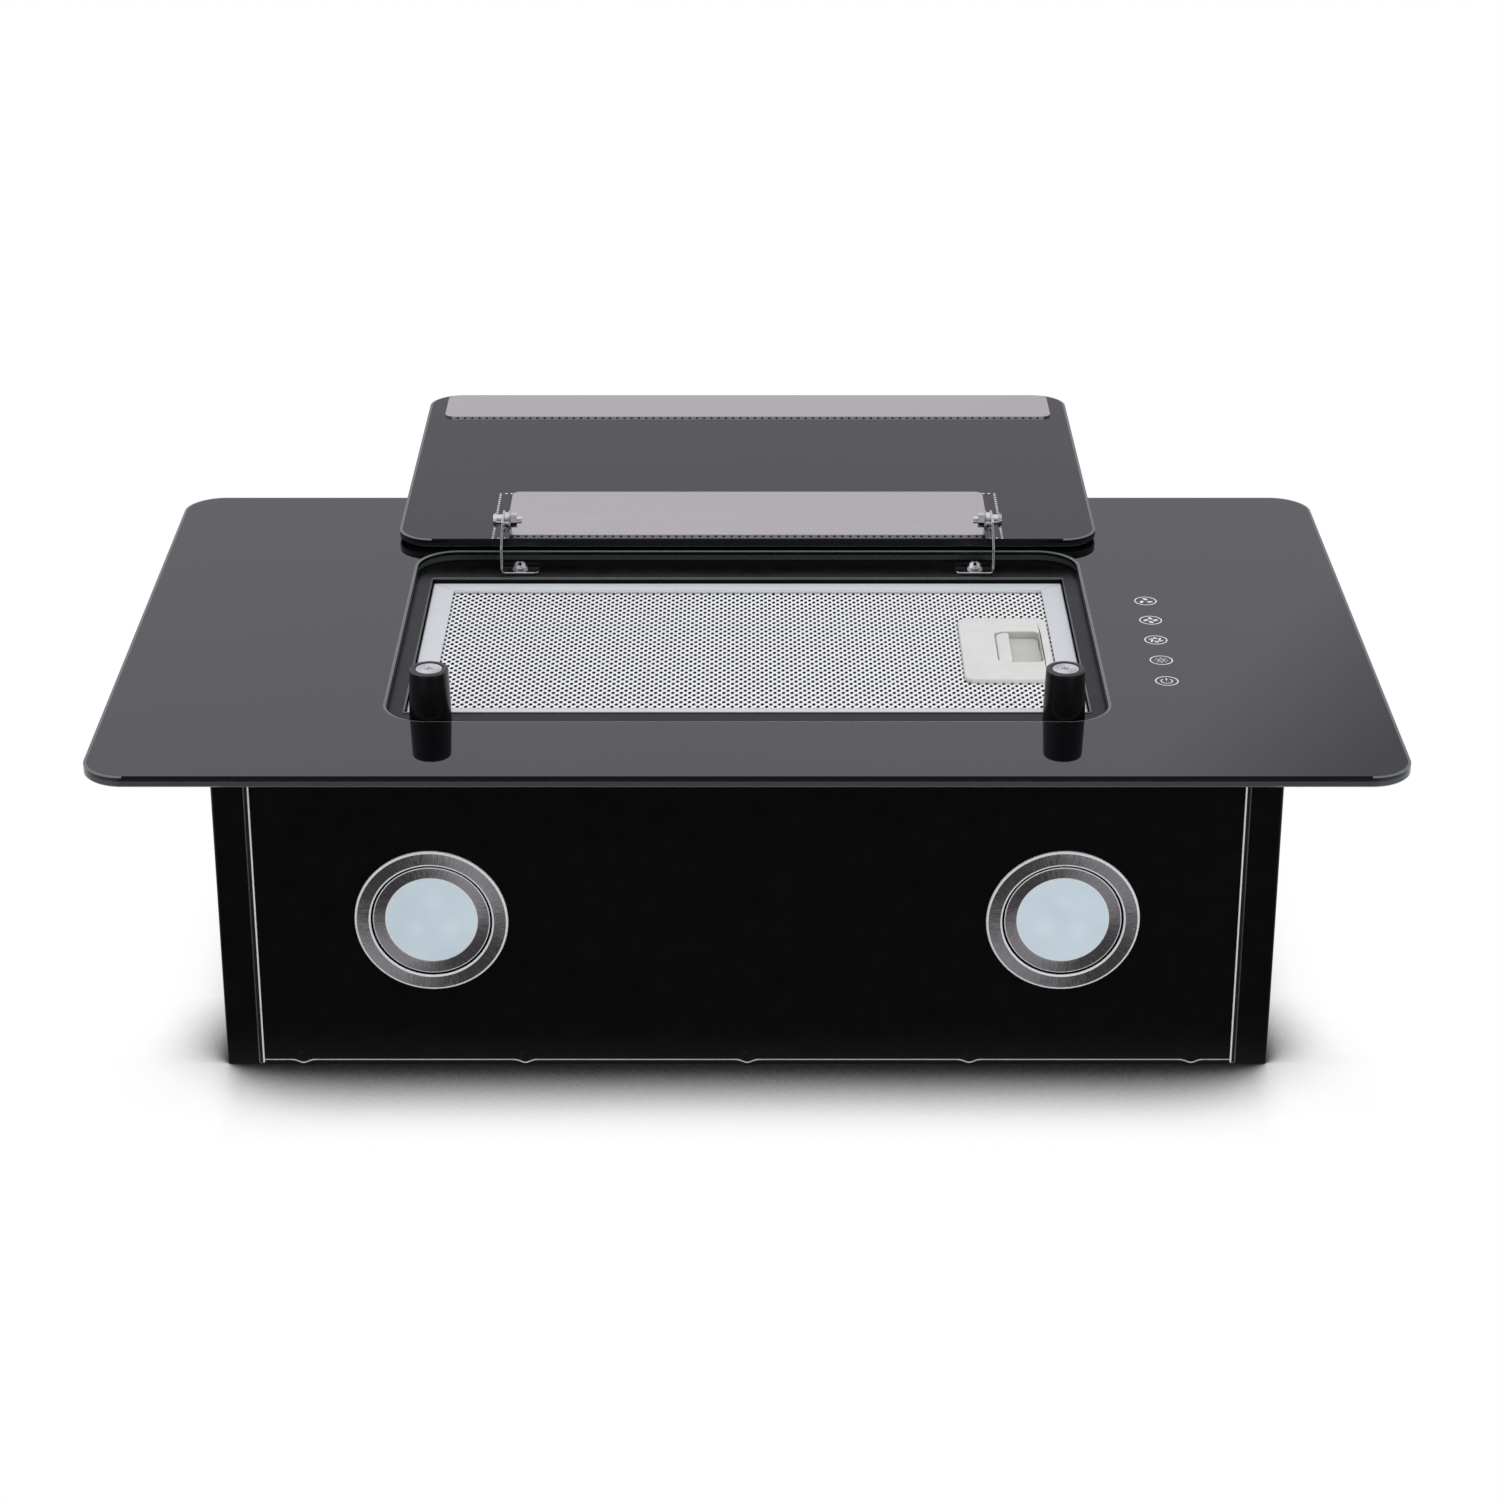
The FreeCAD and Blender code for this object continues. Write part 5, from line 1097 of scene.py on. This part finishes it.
def add_case_edges():
    """Rolled edges: rods up the seams, along the foot and over its rivets, and round the filter recess, in
    pale metal as painted highlight; dark strips stand in the seam gaps as painted shade.

    The foot's path lies at (x, y - rise g, z - dip g), where g is a bell exp(-(d / spread)^2) at each rivet.
    """
    near, far = extent("light_panel")
    side_x = extent("side_panel_right")[0][0]
    top = far[2] - SEAM_TOP_GAP
    y = near[1] + EDGE_RADIUS * EDGE_SINK
    seam = bead([(far[0], y, SEAM_FOOT_Z), (far[0], y, top)], EDGE_RADIUS)
    # Painted highlight up each seam
    add_piece("seam_edges", both_sides(seam), "lamp_edge_highlight", "hood")
    x = np.linspace(near[0], far[0], FOOT_POINTS)
    rivets = (np.arange(RIVET_COUNT) - (RIVET_COUNT - 1) / 2) * RIVET_PITCH
    over = np.exp(-((x[:, None] - rivets) / RIVET_SPREAD) ** 2).sum(axis=1)
    foot = bead(np.column_stack((x, y - RIVET_RISE * over, FOOT_Z - RIVET_DIP * over)), FOOT_RADIUS)
    # Painted highlight along the foot
    add_piece("foot_edge", foot, "bright_edge_highlight", "hood")
    turn = bead([(side_x, y, SEAM_FOOT_Z), (side_x, y, top)], EDGE_RADIUS * SIDE_EDGE_SHARE)
    corners = rectangle(-RECESS_X, RECESS_X, *RECESS_Y)
    start = (0.0, RECESS_Y[1])
    path = eased([start, *corners[1:], corners[0], start], SILL_EASE)
    sill = bead(at_height(path, extent("front_plate")[1][2] - SILL_SINK), SILL_RADIUS)
    # Dimmer painted highlight on the side turns and round the recess
    add_piece("rolled_edges", merged(both_sides(turn), sill), "dim_edge_highlight", "hood")
    # Painted shade: dark rubber strips fill the seam gaps
    gap = rectangle(far[0], side_x, near[1] + SEAM_SHADE_Y[0], near[1] + SEAM_SHADE_Y[1])
    gap_shades = both_sides(prism(gap, SEAM_SHADE_FOOT_Z, top), prism(gap * (1.0, -1.0), SEAM_SHADE_FOOT_Z, top))
    add_piece("seam_shade_strips", gap_shades, "bush_rubber", "hood")


def add_strip_edges():
    """Bright near edges of the hinge plate and the magnet strip."""
    low, high = extent("magnet_strip")
    z = high[2] - STRIP_EDGE_RADIUS
    rods = []
    for node, y, inset in (("hinge_plate", HINGE_SHEET_Y, HINGE_EDGE_INSET),
                           ("magnet_strip", low[1], MAGNET_EDGE_INSET)):
        left, right = plan(node)[:2]
        rods.append(bead([(left + inset, y, z), (right - inset, y, z)], STRIP_EDGE_RADIUS))
    add_piece("strip_edges", merged(*rods), "polished_steel", "flap")


def add_bracket_edges():
    """Rounded sheet edges of a hinge bracket: polished round the foot and its bend, and up the arm a darker
    metal as painted shade.
    """
    low, high = extent("hinge_bracket_right")
    foot_z = low[2] + BRACKET_EDGE_Z
    x = high[0] - BRACKET_EDGE_X
    near = low[1]
    bend = (x, near, foot_z + BRACKET_BEND)
    foot = [(low[0], near + BRACKET_FOOT, foot_z), (low[0], near, foot_z), (x, near, foot_z), bend]
    arm = [bend, (x, near, high[2] - ARM_BEND_DROP), (x, near + ARM_END[0], high[2] - ARM_END[1])]
    bright = bead(eased(foot, BRACKET_FOOT_EASES, BRACKET_EASE_STEPS), BRACKET_FOOT_RADIUS)
    shaded_arm = bead(eased(arm, ARM_EASE, BRACKET_EASE_STEPS), ARM_RADIUS)
    add_piece("bracket_edges", both_sides(bright), "polished_steel", "hood")
    # Painted shade: the arm's edge is darker metal than the polished bracket
    add_piece("bracket_arms", both_sides(shaded_arm), "bracket_edge", "hood")


def set_world():
    """White surround that lights weakly; mirrors show it cool, dimmer to the front, horizon and right."""
    world = bpy.data.worlds.new("surround")
    bpy.context.scene.world = world
    sky = Nodes(world)
    sky.tree.nodes.clear()
    path = sky.node("LightPath").outputs
    place = sky.node("TexCoord").outputs["Generated"]
    across, along, up = sky.node("SeparateXYZ", {0: place}).outputs
    front = sky.spread(along, *SKY_FRONT)
    horizon = sky.spread(up, *SKY_HORIZON)
    aside = sky.math("ADD", across, sky.math("MINIMUM", up, SKY_RIGHT_TOP))
    right = sky.spread(aside, *SKY_RIGHT)
    strength = sky.math("MULTIPLY", sky.math("MULTIPLY", front, horizon), right)
    light = sky.first("Background", {"Color": WHITE, "Strength": SKY_LIGHT})
    mirror = sky.first("Background", {"Color": MIRROR_TINT, "Strength": strength})
    shown = sky.first("Background", {"Color": WHITE, "Strength": 1.0})
    seen = sky.math("MAXIMUM", path["Is Camera Ray"], path["Is Transmission Ray"])
    mix = sky.first("MixShader", {0: path["Is Glossy Ray"], 1: light, 2: mirror})
    mix = sky.first("MixShader", {0: seen, 1: mix, 2: shown})
    sky.node("OutputWorld", {0: mix})


def add_floor():
    """Wide white floor with a painted shadow close round the part, toned from its open sky and lightened
    along the middle of the sides and beside them; mirrors show it dimmer towards the front.
    """
    material = bpy.data.materials.new("floor_white")
    white = Nodes(material)
    white.tree.nodes.clear()
    path = white.node("LightPath").outputs
    place = white.node("TexCoord").outputs["Object"]
    parts = white.node("SeparateXYZ", {0: place}).outputs
    x = white.math("ABSOLUTE", parts[0])
    y = white.math("ABSOLUTE", parts[1])
    open_sky = white.node("AmbientOcclusion", {"Distance": SHADOW_REACH}, samples=16).outputs["AO"]
    # Painted light: the shadow is lightened by place along the sides of the part
    middle = white.spread(y, *SHADOW_MIDDLE)
    beside = white.spread(x, *SHADOW_BESIDE)
    lit = white.math("ADD", open_sky, white.math("ADD", middle, beside))
    shade = white.colours(lit, *SHADOW_TONES)
    front = white.spread(parts[1], *FLOOR_FRONT)
    strength = white.math("MAXIMUM", front, white.spread(x, *FLOOR_SIDE))
    matt = white.first("BsdfDiffuse", {"Color": FLOOR_GREY})
    shown = white.first("Emission", {"Color": shade, "Strength": 1.0})
    mirror = white.first("Emission", {"Color": MIRROR_TINT, "Strength": strength})
    mix = white.first("MixShader", {0: path["Is Glossy Ray"], 1: matt, 2: mirror})
    mix = white.first("MixShader", {0: path["Is Camera Ray"], 1: mix, 2: shown})
    white.node("OutputMaterial", {0: mix})
    corners = at_height(rectangle(-FLOOR_HALF, FLOOR_HALF, -FLOOR_HALF, FLOOR_HALF), 0.0)
    mesh = bpy.data.meshes.new("floor")
    mesh.from_pydata(corners.tolist(), [], [(0, 1, 2, 3)])
    mesh.materials.append(material)
    floor = bpy.data.objects.new("floor", mesh)
    bpy.context.scene.collection.objects.link(floor)


def add_light(name, place, target, size, power):
    """Soft box that looks at a target."""
    lamp = bpy.data.lights.new(name, "AREA")
    lamp.shape = "RECTANGLE"
    lamp.size, lamp.size_y = size
    lamp.energy = power
    box = bpy.data.objects.new(name, lamp)
    box.location = place
    x, y, z = np.subtract(target, place)
    box.rotation_euler = (math.atan2(math.hypot(x, y), -z), 0.0, math.atan2(y, x) - math.pi / 2)
    box.visible_glossy = False
    bpy.context.scene.collection.objects.link(box)


def add_camera():
    """Camera at the photograph's viewing angle."""
    camera = bpy.data.cameras.new("view")
    camera.lens = CAMERA_LENS
    camera.sensor_width = SENSOR_WIDTH
    view = bpy.data.objects.new("view", camera)
    view.location = CAMERA_PLACE
    view.rotation_euler = (CAMERA_PITCH, 0.0, 0.0)
    bpy.context.scene.collection.objects.link(view)
    bpy.context.scene.camera = view


def main():
    """Make the finishes, dress the solids, add the fine surfaces, and set the stage, lights and camera."""
    make_glass_finishes()
    make_steel_finishes()
    make_other_finishes()
    dress_solids()
    add_front_glass()
    add_flap_glass()
    add_filter_sheet()
    add_filter_seams()
    add_handle()
    add_latch()
    add_lamp("left")
    add_lamp("right")
    add_posts()
    add_bracket_screws()
    add_key_prints()
    add_dotted_lines()
    add_tapes()
    add_case_edges()
    add_strip_edges()
    add_bracket_edges()
    set_world()
    add_floor()
    for light in LIGHTS:
        add_light(*light)
    add_camera()
    bpy.context.scene.view_settings.view_transform = "Standard"


main()
